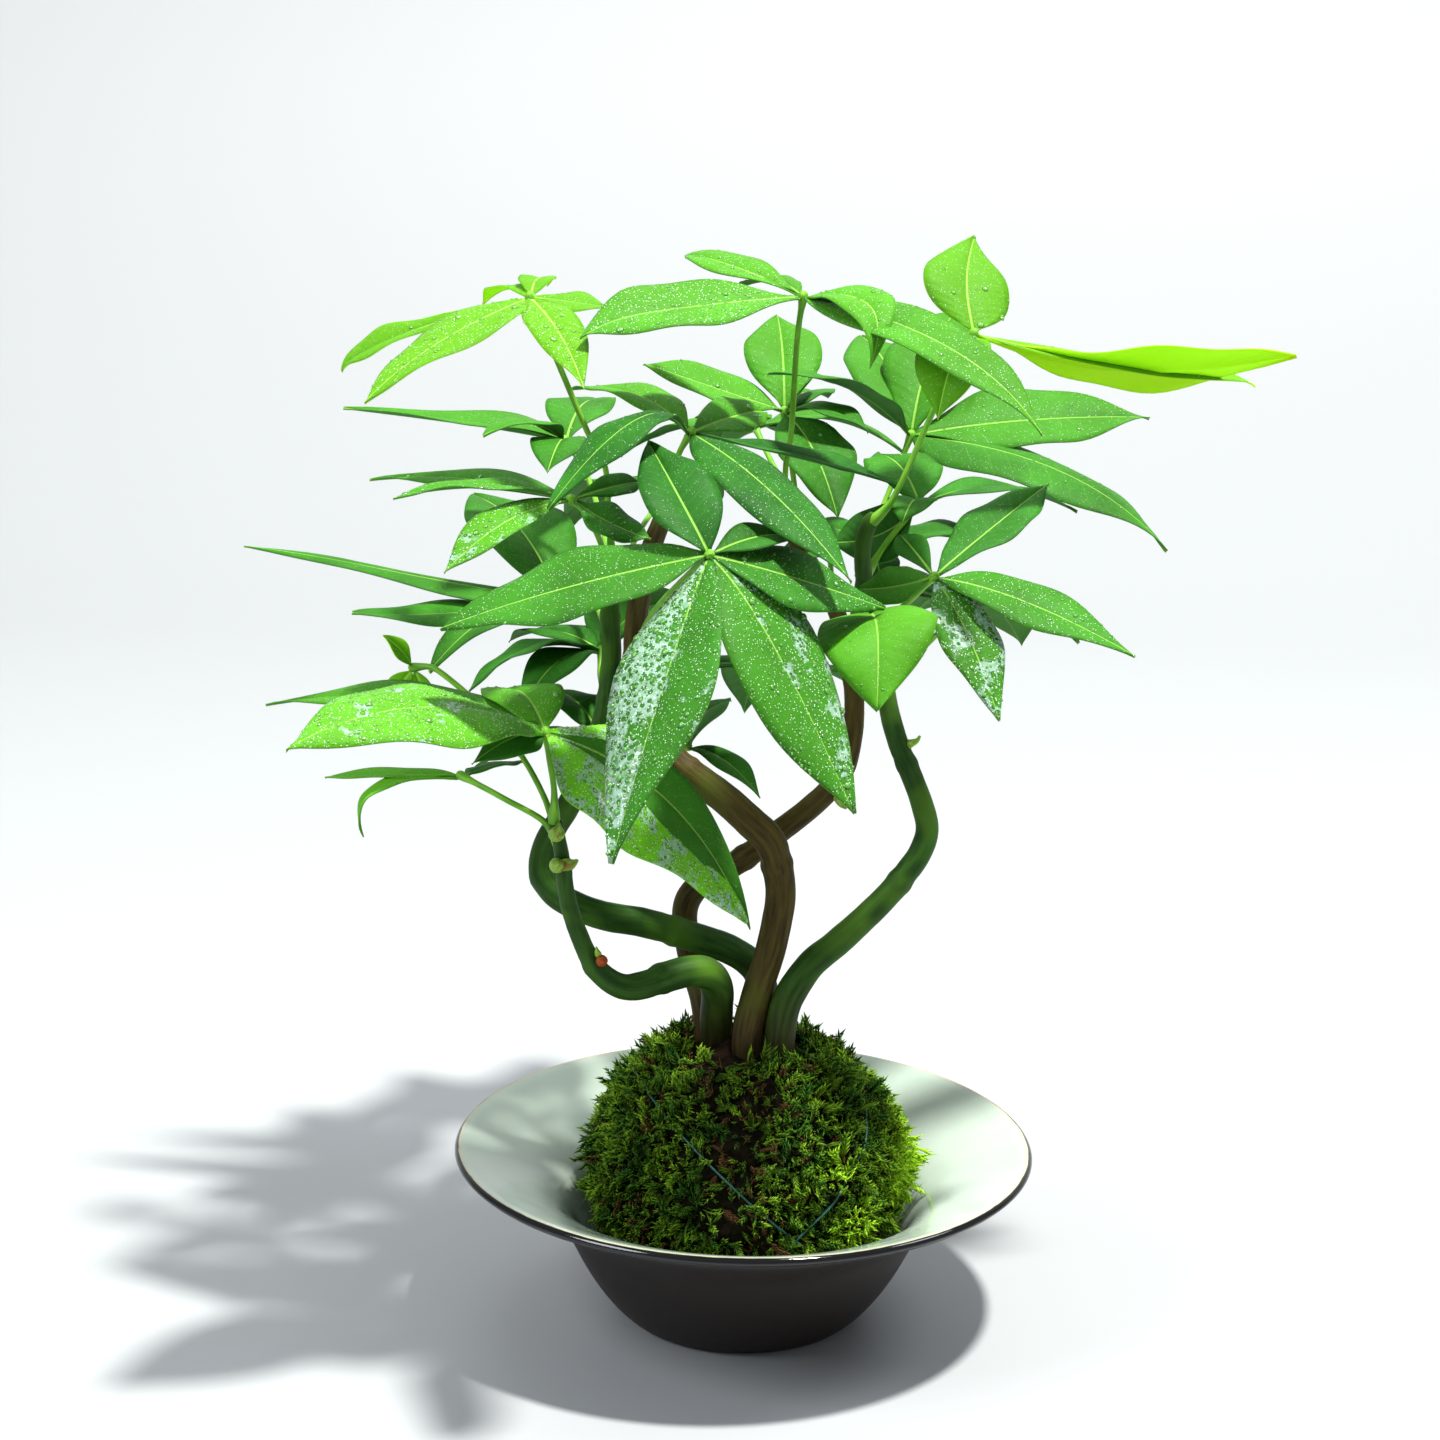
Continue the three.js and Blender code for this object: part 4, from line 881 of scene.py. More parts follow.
leaves = {
    "leaf_front": {
        "petiole": [(-29, 4, 172.5), (-24, -18, 186.5), (-15, -42, 201.5), (-11, -52, 207.5)],
        "leaflets": [
            (-116, -53, 76, 31, 5.4, 21, 0.09, 1.0, 0.01, 2.4, 0.52, 0.45, 0, 1.25, -0.5),
            (-26, -56, 67, 31, 3.3, 13, 0.14, 0.84, -0.05, -0.4, 0.25, 0.57, 0, 1.25, 0.4),
            (-182, -17, 64, 26, 1.4, -24, 0.09, 0.5, 0.03, 0.1, 0.55, 0.45),
            (118, 33, 38, 18, 2.5, -13, 0.0, 0.3, 0.21, 1.3, 0.48, 0.44),
            (20, -19, 46, 20, 0.7, 33, 0.06, 0.5, -0.01, -0.2, 0.47, 0.48),
            (43, 2, 27, 10, 2.1, 22, 0.04, 0.2, 0.11, -0.5, 0.54, 0.51),
        ],
    },
    "leaf_crown": {
        "petiole": [(8, 18, 200.5), (7, 14, 215.5), (8, 12, 223.5), (9, 3, 250.5), (10, 0, 259.5)],
        "leaflets": [
            (-157, -5, 59, 22, 0.9, -20, 0.27, 0.66, 0.11, -0.2, 0.62, 0.47, 3.0),
            (128, 6, 47, 14, 2.2, -8, 0.31, 0.5, 0.09, 1.8, 0.62, 0.53),
            (-38, -20, 73, 20, 6.5, 11, 0.23, 0.55, 0.03, 0.9, 0.65, 0.36),
            (-58, -10, 36, 14, 3, 10, 0.31, 0.5, 0.1, 5.0, 0.45, 0.49, 8.0),
            (120, -4, 32, 10, 3, 0, 0.23, 0.3),
        ],
    },
    "leaf_upper_left": {
        "petiole": [(-35, 8, 192.5), (-36, 8, 206.5), (-37, 8, 216.5), (-41, 7, 224.5), (-49, 5, 243.5),
                    (-55, 5, 257.5)],
        "leaflets": [
            (-143, -25, 51, 19, 2.3, -4, 0.6, 0.6, -0.01, -0.8, 0.59, 0.32),
            (167, -23, 52, 13, 2.8, -23, 0.55, 0.3, 0.19, 0.1, 0.82, 0.66),
            (-69, -21, 44, 13, 2, 6, 0.65, 0.6, 0.02, 0.5, 0.54, 0.38),
            (-1, -6, 19, 12, 0, 12, 0.5, 0.4, 0.06, 0, 0.52, 0.53),
            (84, -1, 26, 9, 3, 0, 0.5, 0.2),
            (117, -10, 30, 9, 3, 0, 0.5, 0.2),
        ],
    },
    "leaf_top_right": {
        "petiole": [(28, 0, 205.5), (32, -2, 210.5), (41, -5, 232.5), (46, -7, 244.5), (50, -8, 252.5)],
        "leaflets": [
            (87, 37, 33, 22, 1.8, 19, 0.45, 0.4, -0.04, 1.9, 0.41, 0.43),
            (10, -4, 80, 21, -4, -38, 0.95, 0.2, 0.05, 4.9, 0.44, 0.63),
            (21, -7, 82, 12, -3.2, 12, 0.8, 0.3, -0.06, -1.1, 0.57, 0.52, 6.0),
            (-114, -38, 28, 18, 5, 0, 0.5, 0.3),
        ],
    },
    "leaf_upper_middle": {
        "petiole": [(-21, -8, 209.5), (-19, -11, 222.5), (-16, -12, 228.5)],
        "leaflets": [
            (-137, -17, 46, 16, 11, 1, 0.0, 0.4, -0.1, 3.1, 0.25, 0.63),
            (133, 6, 44, 16, 4, 0, 0.31, 0.4),
            (66, -2, 44, 12, 2.7, 33, 0.23, 0.4, 0.13, -2.0, 0.58, 0.46),
            (23, -16, 57, 12, 0.9, 10, 0.0, 0.15, 0.23, -0.9, 0.61, 0.58),
            (-47, -26, 61, 21, 3.3, 1, 0.0, 0.45, -0.11, -0.2, 0.48, 0.4),
        ],
    },
    "leaf_left_middle": {
        "petiole": [(-35.5, 9, 183.5), (-37, 0, 197.5), (-41, -10, 208.5), (-44, -15, 212.5)],
        "leaflets": [
            (-143, -21, 38, 13, 3.1, -15, 0.35, 0.76, 0.13, -0.3, 0.44, 0.56),
            (183, 0, 42, 15, 2.9, 2, 0.2, 0.55, 0.12, 0, 0.48, 0.49),
            (144, -3, 64, 13, 2.6, -9, 0.16, 0.3, 0.07, 0.2, 0.51, 0.44),
            (55, 0, 28, 7, 1.9, 37, 0.08, 0.2, 0.15, -1.4, 0.63, 0.53),
            (-6, -25, 21, 17, -0.8, 14, 0.08, 0.4, 0.04, -0.1, 0.46, 0.51),
        ],
    },
    "leaf_right": {
        "petiole": [(29, 4, 178.5), (36, -10, 187.5), (42, -20, 196.5)],
        "leaflets": [
            (-17, -17, 51, 18, 2.3, 18, 0.12, 0.55, 0.02, 0.2, 0.37, 0.5),
            (-58, -46, 40, 16, 2.8, 4, 0.16, 0.88, 0.03, -0.2, 0.43, 0.48),
            (48, 21, 47, 17, 0.8, 3, 0.04, 0.3, 0.11, -0.5, 0.48, 0.52),
            (107, 12, 25, 8, 1.7, -22, 0.04, 0.1, 0.13, 0.9, 0.54, 0.56),
            (166, -13, 19, 12, -0.8, -39, 0.2, 0.2, 0.08, 0.1, 0.51, 0.52),
        ],
    },
    "leaf_lower_left": {
        "petiole": [(-47, -27, 136.5), (-47, -29, 145.5), (-48, -30, 152.5), (-49, -30, 159.5)],
        "leaflets": [
            (-142, 7, 72, 32, 7, -12, 0.45, 0.74, -0.13, 0.4, 0.43, 0.49, 2.0),
            (160, -1, 74, 17, 5, -6, 0.23, 0.4),
            (116, -1, 37, 19, 6, -2, 0.35, 0.45, 0.05, -0.6, 0.4, 0.45),
            (0, -44, 67, 36, 4.9, 24, 1.0, 0.9, -0.12, 0.6, 0.3, 0.4),
            (5, -45, 70, 15, 8, 50, 0.12, 0.2),
            (189, -23, 19, 14, 1.8, -33, 0.08, 0.1, 0.09, -0.1, 0.32, 0.36),
        ],
    },
    "leaf_heart": {
        "petiole": [(31, 4, 170.5), (28, -9.5, 180), (26, -23, 187.2)],
        "leaflets": [
            (-87, -24, 36, 28, 9.5, 13, 0.33, 0.25, -0.04, 0.8, 0.45, 0.47, 0, 1.0),
            (139, -7, 22, 13, 4, 0, 0.39, 0.1),
            (128, -4, 38, 15, 4, 0, 0.23, 0.1),
        ],
    },
    "leaf_back_middle": {
        "petiole": [(12, 22, 193), (10, 38, 205.5), (7, 45, 224.5)],
        "leaflets": [
            (94, 37, 34, 20, 4, 0, 0.23, 0.3),
            (-172, 19, 38, 19, 0, -20, 0.27, 0.4),
            (-28, -7, 24, 14, 3, 0, 0.08, 0.2),
            (72, -3, 39, 15, 3, 0, 0.08, 0.2),
            (-62, -38, 36, 21, 3, 0, 0.08, 0.2),
        ],
    },
    "leaf_back_right": {
        "petiole": [(24, 27, 167.5), (28, 46, 186.5), (36, 58, 205.5), (40, 60, 216.5)],
        "leaflets": [
            (13, 3, 65, 26, 2, 26, 0.16, 0.4),
            (-25, -18, 74, 29, 6.8, 3, 0.08, 0.3, -0.2, 1.6, 0.59, 0.33),
            (-139, 22, 54, 17, 5, 0, 0.12, 0.2),
            (105, 23, 49, 24, 5, 0, 0.16, 0.2),
            (70, 35, 49, 23, 5, 0, 0.16, 0.2),
        ],
    },
    "leaf_right_inner": {
        "petiole": [(26.5, 4, 190.5), (32, 9, 198.5), (40, 13, 207.5)],
        "leaflets": [
            (110, 17, 27, 20, 3, 0, 0.08, 0.2),
            (30, -7, 48, 16, 5, 0, 0.04, 0.2),
            (-105, -3, 20, 12, 3, 0, 0.08, 0.1),
            (176, -25, 24, 18, -3, -41, 0.04, 0.1, 0.01, 0.2, 0.48, 0.51),
        ],
    },
    "leaf_left_back": {
        "petiole": [(-35.5, 9, 174.5), (-43, 36, 179.5), (-50, 50, 173.5)],
        "leaflets": [
            (174, 9, 85, 14, -0.8, -1, 0.08, 0.2, -0.2, 1.2, 0.41, 0.3, 2.0),
            (-164, -1, 54, 18, -1.6, -6, 0.08, 0.2, 0.02, 0.4, 0.56, 0.56),
            (119, 19, 56, 28, 6, 0, 0.08, 0.2),
            (-138, -17, 44, 18, 6, 0, 0.08, 0.2),
            (78, 2, 43, 20, 5, 0, 0.08, 0.2),
        ],
    },
    "leaf_left_high": {
        "petiole": [(-35, 8, 188.5), (-39, 38, 197.5), (-44, 56, 206.5), (-49, 60, 213.5)],
        "leaflets": [
            (173, 6, 59, 15, 0.5, -4, 0.16, 0.3, 0.28, -0.6, 0.25, 0.38),
            (-132, 9, 30, 14, 4, 0, 0.16, 0.3),
            (-96, -6, 30, 14, 3, 0, 0.08, 0.2),
            (81, 4, 45, 18, 4, 0, 0.08, 0.2),
        ],
    },
    "young_shoot": {
        "petiole": [(-46, -26, 132.5), (-50, -21, 141.5), (-57, -12, 150.5), (-66, -9, 160),
                    (-73, -8, 166), (-78, -6, 168.8), (-82.5, -4, 168.2)],
        "leaflets": [
            (-150, 48, 12, 6, 0.5, -50, 0.9, 0.1),
            (-145, -56, 14, 7, 1, -40, 1.0, 0.1),
            (-50, -64, 12, 5, 1, 30, 0.9, 0.1),
        ],
    },
    "leaf_small_left": {
        "petiole": [(-45.5, -25.5, 129.5), (-49, -25, 135.5), (-59, -22, 140.5), (-70, -16, 144.5)],
        "leaflets": [
            (167, -5, 35, 10, 0.5, 0, 0.5, 0.3),
            (-171, -32, 28, 7, 8.6, -3, 0.6, 0.3, 0.1, 0.6, 0.85, 0.49),
            (54, -4, 25, 11, 0.7, -12, 0.08, 0.1, 0.03, -0.1, 0.47, 0.5),
        ],
    },
    "leaf_inner_left": {
        "petiole": [(-36, 8, 158.5), (-38, 18, 161.5), (-38, 24, 166.5)],
        "leaflets": [
            (-157, -12, 36, 18, 6, 10, 0.04, 0.1),
            (132, -7, 38, 15, 4, 0, 0.04, 0.1),
            (-130, -20, 31, 15, 5, 0, 0.04, 0.1),
            (14, 25, 27, 22, 5, 10, 0.08, 0.1),
            (80, 0, 47, 18, 4, 0, 0.04, 0.1),
        ],
    },
    "leaf_loop_low": {
        "petiole": [(-43, 3, 136), (-40, 10, 142.5), (-38, 16, 146.5)],
        "leaflets": [
            (170, -20, 36, 13, 4, 0, 0.08, 0.1),
            (66, 6, 34, 17, 4, 0, 0.04, 0.1),
            (118, 12, 26, 14, 3, 0, 0.04, 0.1),
        ],
    },
    "leaf_inner_low": {
        "petiole": [(-25, 4.5, 151.5), (-21, 14, 146.5), (-16, 22, 142.5)],
        "leaflets": [
            (-44, -17, 27, 10, 3, 0, 0.08, 0.2),
            (-53, 42, 24, 15, 3, 0, 0.08, 0.1),
            (120, 4, 25, 16, 4, 0, 0.04, 0.1),
        ],
    },
    "leaf_inner_middle": {
        "petiole": [(23.5, 26.5, 168.5), (30, 32, 178.5), (30, 34, 190.5)],
        "leaflets": [
            (-150, -4, 32, 17, 4, 0, 0.04, 0.1),
            (140, 8, 26, 16, 3, 0, 0.04, 0.1),
            (-86, -18, 24, 11, 4, 0, 0.04, 0.1),
            (20, 6, 34, 17, 3, 0, 0.04, 0.1),
        ],
    },
    "leaf_rear_left": {
        "petiole": [(-35.5, 9, 181.5), (-30, 46, 191.5), (-25, 70, 195.5), (-22, 82, 197.5)],
        "leaflets": [
            (150, -30, 42, 18, 6, 0, 0.12, 0.2),
            (125, -18, 56, 23, 5, 0, 0.16, 0.3),
            (85, -24, 54, 22, 5, 0, 0.16, 0.3),
            (45, -14, 48, 20, 4, 0, 0.12, 0.2),
            (-30, 6, 28, 14, 3, 0, 0.08, 0.1),
        ],
    },
    "leaf_rear_middle": {
        "petiole": [(20, 26, 178.5), (18, 56, 190.5), (6, 80, 202.5), (0, 92, 212.5)],
        "leaflets": [
            (150, -16, 44, 19, 4, 0, 0.16, 0.2),
            (105, -22, 50, 22, 6, 0, 0.2, 0.3),
            (60, -22, 52, 22, 5, 0, 0.16, 0.3),
            (15, -12, 44, 19, 6, 0, 0.16, 0.2),
        ],
    },
    "leaf_rear_right": {
        "petiole": [(25.5, 26, 154.5), (40, 46, 159.5), (50, 60, 165.5), (56, 66, 170.5)],
        "leaflets": [
            (105, -16, 44, 19, 4, 0, 0.12, 0.2),
            (65, -24, 50, 22, 5, 0, 0.16, 0.3),
            (25, -20, 38, 18, 4, 0, 0.12, 0.2),
            (155, 8, 32, 15, 3, 0, 0.08, 0.1),
        ],
    },
    "leaf_rear_low": {
        "petiole": [(21, 21.5, 133.5), (20, 44, 138.5), (14, 60, 144.5), (10, 68, 148.5)],
        "leaflets": [
            (150, -12, 44, 19, 6, 0, 0.08, 0.2),
            (105, -24, 48, 21, 8, 0, 0.08, 0.2),
            (55, -20, 46, 20, 7, 0, 0.12, 0.2),
            (-165, 6, 32, 15, 4, 0, 0.08, 0.1),
        ],
    },
}

# The "film" colours are a painted sheen, the whitish reflection of a bright light on wet skin, not the
# water's own colour
leafLooks = {
    # The "lime" colours are partly brightened past the leaf's own, as painted light for leaflets that stand
    # in shade
    "grown": {"deep": "#194a13", "green": "#2a6c1a", "lime": "#6cbc1c", "rib": "#7ca843",
              "undersideAndPaintedBacklight": "#557f48", "underShare": 0.45, "film": "#95b3a2", "glow": 0.2, "glowDepth": 1.0},
    "young": {"deep": "#306a14", "green": "#3f7a17", "lime": "#5c960c", "rib": "#8ab844",
              # The young underside colour is brightened past its own as painted light shining through the
              # blade
              "undersideAndPaintedBacklight": "#a6e614", "underShare": 0.9, "film": "#98b28c", "glow": 0.4, "glowDepth": 2.0},
}
for skin in leafLooks.values():
    skin.update({
        "patchSize": 16, "sideVeins": 14, "veinSlant": 0.12, "veinWidth": 0.06, "veinEnd": 0.65,
        "veinTint": 0.1, "veinHeight": 0.8, "ribAtBase": 0.42, "ribAtTip": 0.12, "ribCore": 0.55,
        "poolSize": 6, "poolReach": 0.87, "poolFrom": 1.25, "edgeBlur": 0.06, "filmCoat": 0.5,
        "milkyLeast": 0.5, "milky": 0.85, "ripples": (26.0, 2.2, 0.0), "rippleLow": 0.38,
        "rippleHigh": 0.58, "dropGap": 1.6, "dropReach": 0.36, "dropRim": 0.8, "rimWidth": 0.1,
        # The speck colour is a painted glint of the fine drops
        "rimCore": 0.03, "speck": "#dfeae0", "speckGap": 0.7, "speckReach": 0.24, "speckLeast": 0.06,
        "speckCore": 0.6, "speckTint": 0.7, "speckHeight": 0.5, "grainSize": 1.2, "grainGloss": 0.15,
        "underGloss": 0.2, "dry": 0.5, "wet": 0.2, "relief": 0.35, "reliefDepth": 0.35})

bladeLook = {"rows": 28, "columns": 14, "thickness": 0.32, "hubRadius": 1.5, "ribGroove": 0.22,
             "grooveWidth": 0.5, "ribKeel": 0.5, "keelWidth": 0.6, "crown": 0.07, "waves": 0.03,
             "twist": 7, "drift": 0.02, "fold": 0.1, "middle": 0.45, "widest": 0.49, "curl": 0,
             "curlFrom": 0.6, "taper": 1.25, "wetAndSheenHalf": 0}
youngNodes = {"leaf_upper_left", "leaf_top_right", "young_shoot"}
chance = np.random.default_rng(21)


def outline(share, widest, taper):
    # Half width of a leaflet along its length: a narrow foot, then a swell, then a drawn-out tip
    swell = taper * widest / (1 - widest)
    blade = share ** swell * (1 - share) ** taper / (widest ** swell * (1 - widest) ** taper)
    return np.sqrt(blade ** 2 + (0.07 * (1 - share)) ** 2) + 0.006


def leafletSurface(hub, look):
    # The blade's middle surface and its outward direction, on a grid from foot to tip and edge to edge
    length, width = look["length"], look["width"]
    turn, lift = math.radians(look["bearing"]), math.radians(look["rise"])
    ahead = np.array([math.cos(turn) * math.cos(lift), math.sin(turn) * math.cos(lift), math.sin(lift)])
    across = np.array([-math.sin(turn), math.cos(turn), 0.0])
    up = np.cross(ahead, across)
    hub = np.array(hub, dtype=float)
    start = hub + ahead * look["hubRadius"] / 2
    middle = hub + ahead * length * look["middle"] + up * look["arch"] * 2
    tip = hub + ahead * length
    share = np.linspace(0, 1, look["rows"] + 1)[:, None]
    rib = start * (1 - share) ** 2 + 2 * middle * share * (1 - share) + tip * share ** 2
    tangent = (middle - start) * (1 - share) + (tip - middle) * share
    tangent /= np.linalg.norm(tangent, axis=1)[:, None]

    twist = chance.uniform(-1, 1) * look["twist"]
    drift = chance.uniform(-1, 1) * look["drift"] * length
    wave, waves = chance.uniform(0, 2 * math.pi), chance.uniform(1.6, 3.0)
    angle = np.radians(look["roll"] + twist * (share - 0.4))
    sideways = across * np.cos(angle) + np.cross(ahead, across) * np.sin(angle)
    face = np.cross(tangent, sideways)
    face /= np.linalg.norm(face, axis=1)[:, None]
    end = np.clip((share - look["curlFrom"]) / (1 - look["curlFrom"]), 0, 1)
    curl = look["curl"] * (up * end ** 2 + ahead * 0.7 * end ** 3)
    rib = rib + sideways * look.get("sway", drift) * np.sin(math.pi * share) - curl

    even = np.linspace(-1, 1, look["columns"] + 1)
    place = (np.sign(even) * np.abs(even) ** 1.5)[None, :]
    half = width / 2 * outline(share, look["widest"], look["taper"])
    out = place * half
    lift = look["fold"] * np.abs(out)
    lift = lift + look["crown"] * half * np.sin(math.pi * np.abs(place))
    lift = lift + look["waves"] * width * place ** 2 * np.sin(2 * math.pi * waves * share + wave
                                                             + 0.9 * np.sign(place))
    points = rib[:, None, :] + sideways[:, None, :] * out[..., None] + face[:, None, :] * lift[..., None]
    return points, face, share, place, out


def bladePart(hub, look):
    points, face, share, place, out = leafletSurface(hub, look)
    groove = look["ribGroove"] * np.exp(-(out / look["grooveWidth"]) ** 2)
    keel = look["ribKeel"] * np.exp(-(out / look["keelWidth"]) ** 2) * (1 - 0.7 * share)
    upper = points + face[:, None, :] * (look["thickness"] / 2 - groove)[..., None]
    lower = points - face[:, None, :] * (look["thickness"] / 2 + keel)[..., None]
    rows, columns = points.shape[:2]
    count = rows * columns
    number = np.arange(count).reshape(rows, columns)
    a, b = number[:-1, :-1].ravel(), number[1:, :-1].ravel()
    c, d = number[1:, 1:].ravel(), number[:-1, 1:].ravel()
    faces = [*np.column_stack([a, b, c, d]), *(np.column_stack([a, d, c, b]) + count)]
    loop = [*number[:, 0], *number[-1, 1:], *number[-2::-1, -1], *number[0, -2:0:-1]]
    for here, there in zip(loop, loop[1:] + loop[:1]):
        faces.append((here, here + count, there + count, there))
    spot = np.stack([np.broadcast_to(share, out.shape), np.broadcast_to(place, out.shape), out], axis=-1)
    # Water gathers on one half of some leaflets, and with it the film's painted sheen
    halves = 1 - 0.6 * np.clip(0.5 - 4 * place * look["wetAndSheenHalf"], 0, 1) * abs(look["wetAndSheenHalf"])
    wet = np.broadcast_to(look["wetnessAndSheen"] * halves, out.shape).ravel()
    youth = np.full(count, look["youth"])
    traits = np.column_stack([youth, wet, np.zeros(count)])
    under = traits * [1, 0, 0] + [0, 0, 1]
    return {
        "vertices": np.vstack([upper.reshape(-1, 3), lower.reshape(-1, 3)]), "faces": faces,
        "place": np.vstack([spot.reshape(-1, 3)] * 2), "look": np.vstack([traits, under]),
        "top": upper.reshape(-1, 3), "topFaces": np.column_stack([a, b, c, d]), "wet": wet, "youth": youth,
    }


def joined(parts, points, corners):
    # The points and the faces of all the parts, as one list each
    vertices, faces = [], []
    for part in parts:
        faces += [tuple(int(corner) + len(vertices) for corner in face) for face in part[corners]]
        vertices += list(part[points] * mm)
    return vertices, faces


def makeLeaves():
    materials = {age: waxyLeaf(age + "Leaf", look) for age, look in leafLooks.items()}
    tops = []
    for node, leaf in leaves.items():
        parts = [bladePart(leaf["petiole"][-1], {**bladeLook, **dict(zip(leafletParts, leaflet))})
                 for leaflet in leaf["leaflets"]]
        vertices, faces = joined(parts, "vertices", "faces")
        age = "young" if node in youngNodes else "grown"
        mesh = meshFrom(node + "Mesh", vertices, faces, {
            "leafletPlace": np.vstack([part["place"] for part in parts]),
            "leafletLook": np.vstack([part["look"] for part in parts])}, materials[age])
        words = node.split("_")
        name = words[0] + "".join(word.capitalize() for word in words[1:]) + "Blades"
        addPiece(name, mesh, age + "_leaf", node)
        tops += parts
    return tops


petioleLook = {
    "dark": "#4b8f24", "light": "#86bf3c", "blotch": "#6aa030", "streakSize": 0.8, "blotchSize": 12,
    "roughness": 0.35, "relief": 0.15, "corkTop": 0, **barkLook, "step": 1.2,
    "girth": 0.72, "footSwell": 0.75, "footLength": 5, "endSwell": 0.45, "endLength": 2.5,
    "knob": [0.6, 1.1, 1.4], "knobGirths": [1.15, 0.85, 0.3], "sides": 14, "lumps": 0.1, "lumpSize": 3,
}


def makePetioles(look):
    # Petioles swell where they leave the stem and where the leaflets join; the hub is a small knob
    skin = youngBark("petioleSkin", look)
    paths = []
    for leaf in leaves.values():
        points, lengths = through(leaf["petiole"], look["step"])
        fromEnd = lengths[-1] - lengths
        girth = look["girth"] + look["footSwell"] * np.exp(-(lengths / look["footLength"]) ** 2)
        girth += look["endSwell"] * np.exp(-(fromEnd / look["endLength"]) ** 2)
        ahead = (points[-1] - points[-2]) / np.linalg.norm(points[-1] - points[-2])
        knob = [points[-1] + ahead * step for step in look["knob"]]
        paths.append((np.vstack([points, knob]), [*girth, *look["knobGirths"]]))
    addPiece("petioles", tubesAlong("petiole", paths, look, skin), "grown_leaf")


beadLook = {"roughness": 0.1, "onGrown": "#4f9636", "onYoung": "#7cba34", "rim": "#0e3009",
            "usualCover": 0.8, "clusterSize": 6, "clusterShare": 1.2, "favourSmall": 2.0}
beadLayers = {
    "fineBeads": {"density": 2.2, "spacing": 0.42, "small": 0.1, "large": 0.22, "lean": 0.0, "seed": 5,
                  "sides": 4, "flatness": 0.6},
    "middleBeads": {"density": 1.2, "spacing": 0.9, "small": 0.3, "large": 0.5, "lean": 0.0, "seed": 8,
                    "sides": 6, "flatness": 0.6},
    "largeBeads": {"density": 0.07, "spacing": 2.0, "small": 0.5, "large": 0.95, "lean": 0.0, "seed": 9,
                   "sides": 10, "flatness": 0.6},
}


def beadShape(name, sides):
    # A low dome on a point: only the dome shows, and the point is inside the leaf
    rings = [(0, 1)] if sides == 4 else [(0, 1), (0.6, 0.8)]
    profile = [(0, -0.6), *[(radius, height) for height, radius in rings], (0, 1)]
    vertices, faces = lathe(profile, sides)
    return addObject(name, meshFrom(name, vertices, faces))


def sprayBeads(tops, look, layers):
    water = waterBead("sprayedWater", look)
    vertices, faces = joined(tops, "top", "topFaces")
    cover, youth = [], []
    for part in tops:
        clusters = [noise.noise(Vector(point) / look["clusterSize"]) for point in part["top"]]
        clusters = look["usualCover"] + look["clusterShare"] * np.array(clusters)
        cover += list(part["wet"] ** 3 * np.clip(clusters, 0.1, 1))
        youth += list(part["youth"])
    for name, layer in layers.items():
        bead = beadShape(name + "Shape", layer["sides"])
        surface = meshFrom(name + "Surface", vertices, faces, {"cover": cover, "youth": youth})
        addPiece(name, scatter(name, surface, bead, look["favourSmall"], layer, water), "grown_leaf")


leafTops = makeLeaves()
makePetioles(petioleLook)
sprayBeads(leafTops, beadLook, beadLayers)
print("leaves made")


# Floor, light and camera

stageLook = {"floorColour": "#a2a5a7", "worldColour": "#f2f6fa", "worldStrength": 0.4,
             "sweepFrom": 0.75, "bend": 0.5, "bendSteps": 12, "halfWidth": 3.0, "front": -2.0,
             "wallHeight": 3.0}
lights = {
    "lamp": {"place": (0.54, -0.32, 2.3), "aim": (0, 0, 0.12), "size": 0.18, "power": 115,
             "colour": "#fffdf8"},
    "window": {"place": (-0.75, -0.45, 0.8), "aim": (0, 0, 0.16), "size": 0.5, "power": 8,
               "colour": "#f6faff"},
    "rightWindow": {"place": (0.8, 0.1, 1.0), "aim": (0, 0, 0.16), "size": 0.4, "power": 4,
                    "colour": "#f6faff"},
    "wallWash": {"place": (-0.3, 0.5, 1.6), "aim": (-0.1, 1.3, 0.5), "size": 0.8, "power": 7,
                 "colour": "#ffffff"},
}
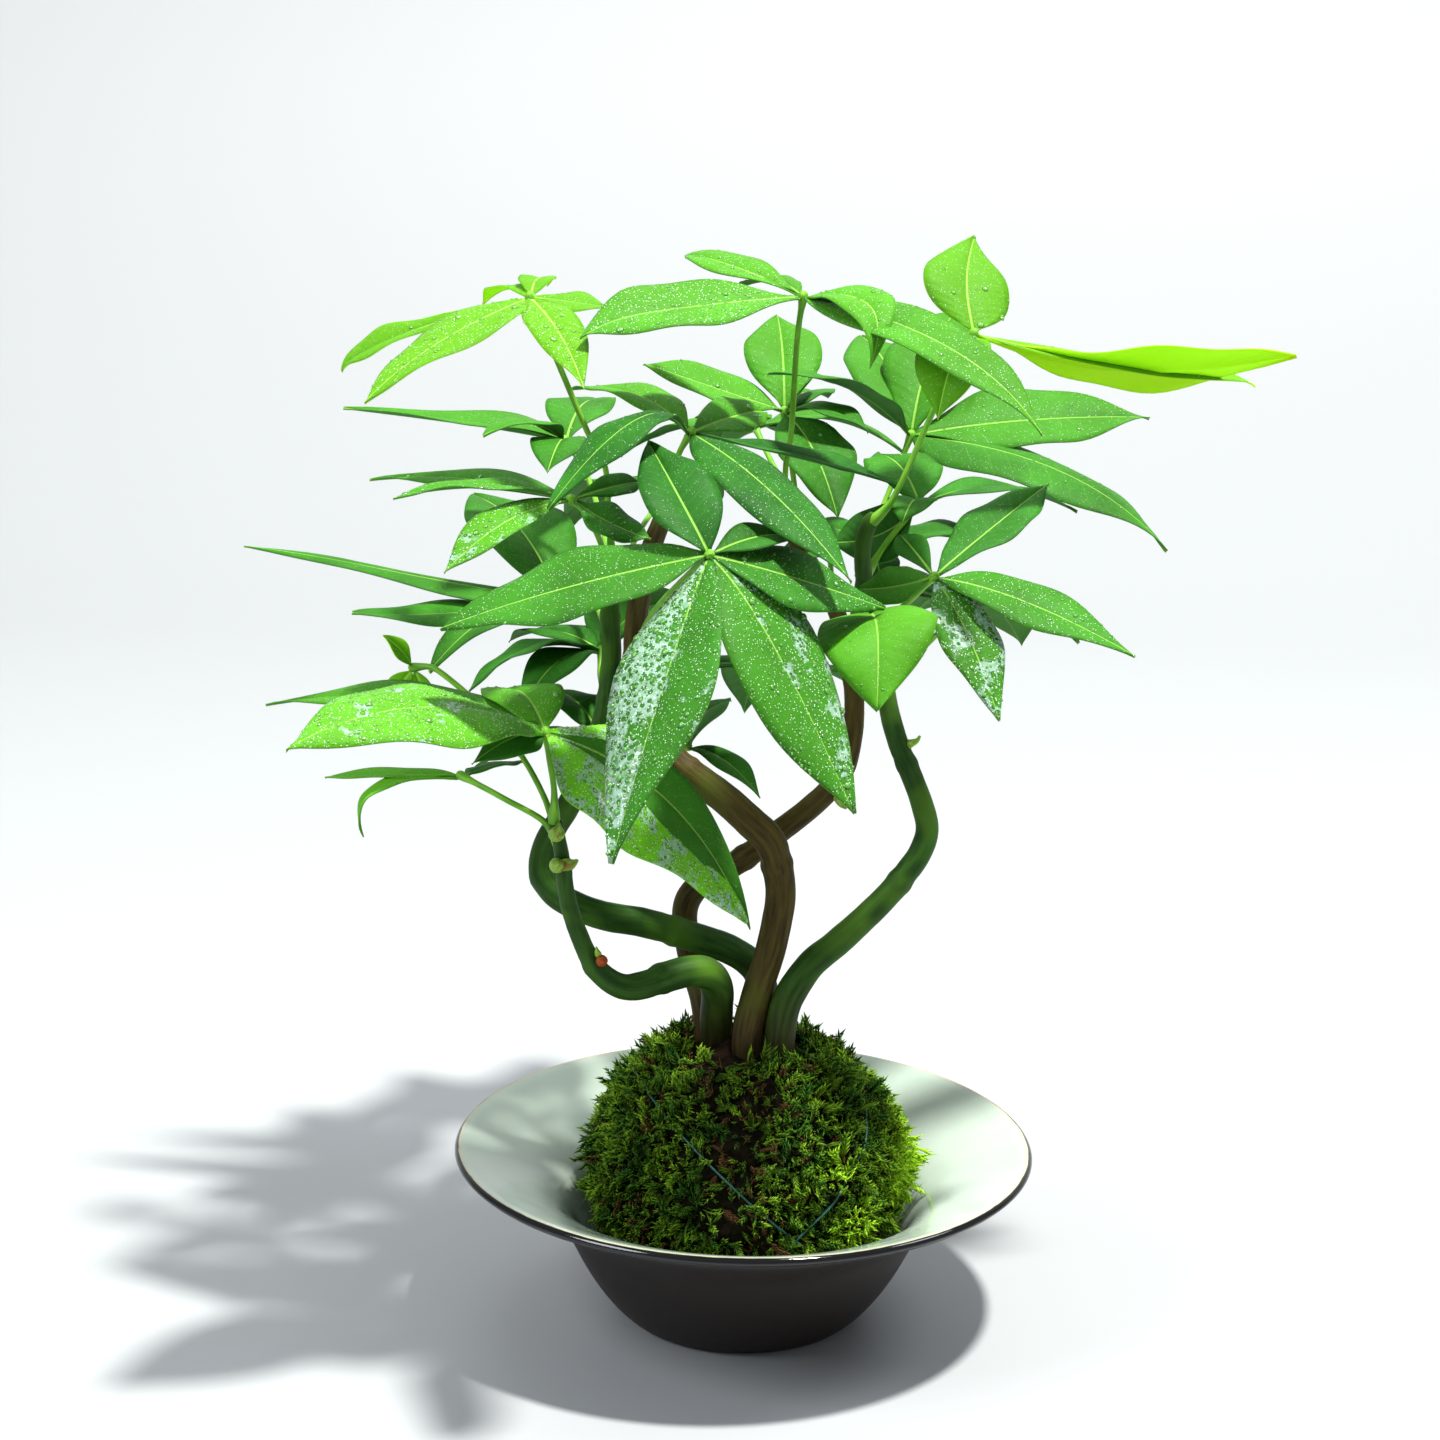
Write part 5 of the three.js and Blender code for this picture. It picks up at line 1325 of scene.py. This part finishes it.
photoCamera = {"place": (-7.9, -782, 360.5), "pitch": 14.7, "roll": 1.05, "focal": 3300, "frame": 1440}


def makeStage(look):
    # A floor that sweeps up into a wall behind the plant
    profile = [(look["front"], 0.0), (look["sweepFrom"], 0.0)]
    bend = look["bend"]
    for step in range(1, look["bendSteps"] + 1):
        angle = math.pi / 2 * step / look["bendSteps"]
        profile.append((look["sweepFrom"] + bend * math.sin(angle), bend * (1 - math.cos(angle))))
    profile.append((look["sweepFrom"] + bend, look["wallHeight"]))
    vertices = [(side * look["halfWidth"], y, z) for y, z in profile for side in (-1, 1)]
    faces = [(2 * i, 2 * i + 1, 2 * i + 3, 2 * i + 2) for i in range(len(profile) - 1)]
    material = newMaterial("paintedBoard", Base_Color=look["floorColour"], Roughness=0.55)[0]
    floor = addObject("studioFloor", meshFrom("studioFloorMesh", vertices, faces, {}, material))
    world = bpy.data.worlds.new("studioWorld")
    world.use_nodes = True
    background = world.node_tree.nodes["Background"]
    setInputs(background, {"Color": look["worldColour"], "Strength": look["worldStrength"]})
    bpy.context.scene.world = world


def makeLights(table):
    for name, light in table.items():
        data = bpy.data.lights.new(name + "Light", "AREA")
        data.shape = "DISK"
        data.size = light["size"]
        data.energy = light["power"]
        data.color = linear(light["colour"])[:3]
        lamp = addObject(name + "Light", data)
        place = Vector(light["place"])
        aim = (Vector(light["aim"]) - place).to_track_quat("-Z", "Y")
        lamp.matrix_world = Matrix.Translation(place) @ aim.to_matrix().to_4x4()


def makeCamera(look):
    data = bpy.data.cameras.new("photoCamera")
    data.sensor_width = 36
    data.lens = look["focal"] / look["frame"] * data.sensor_width
    data.clip_end = 50
    camera = addObject("photoCamera", data)
    tilt = Matrix.Rotation(math.radians(90 - look["pitch"]), 4, "X")
    roll = Matrix.Rotation(math.radians(look["roll"]), 4, "Z")
    camera.matrix_world = Matrix.Translation(Vector(look["place"]) * mm) @ tilt @ roll
    bpy.context.scene.camera = camera


makeStage(stageLook)
makeLights(lights)
makeCamera(photoCamera)
bpy.context.scene.view_settings.view_transform = "Standard"
print("stage made")
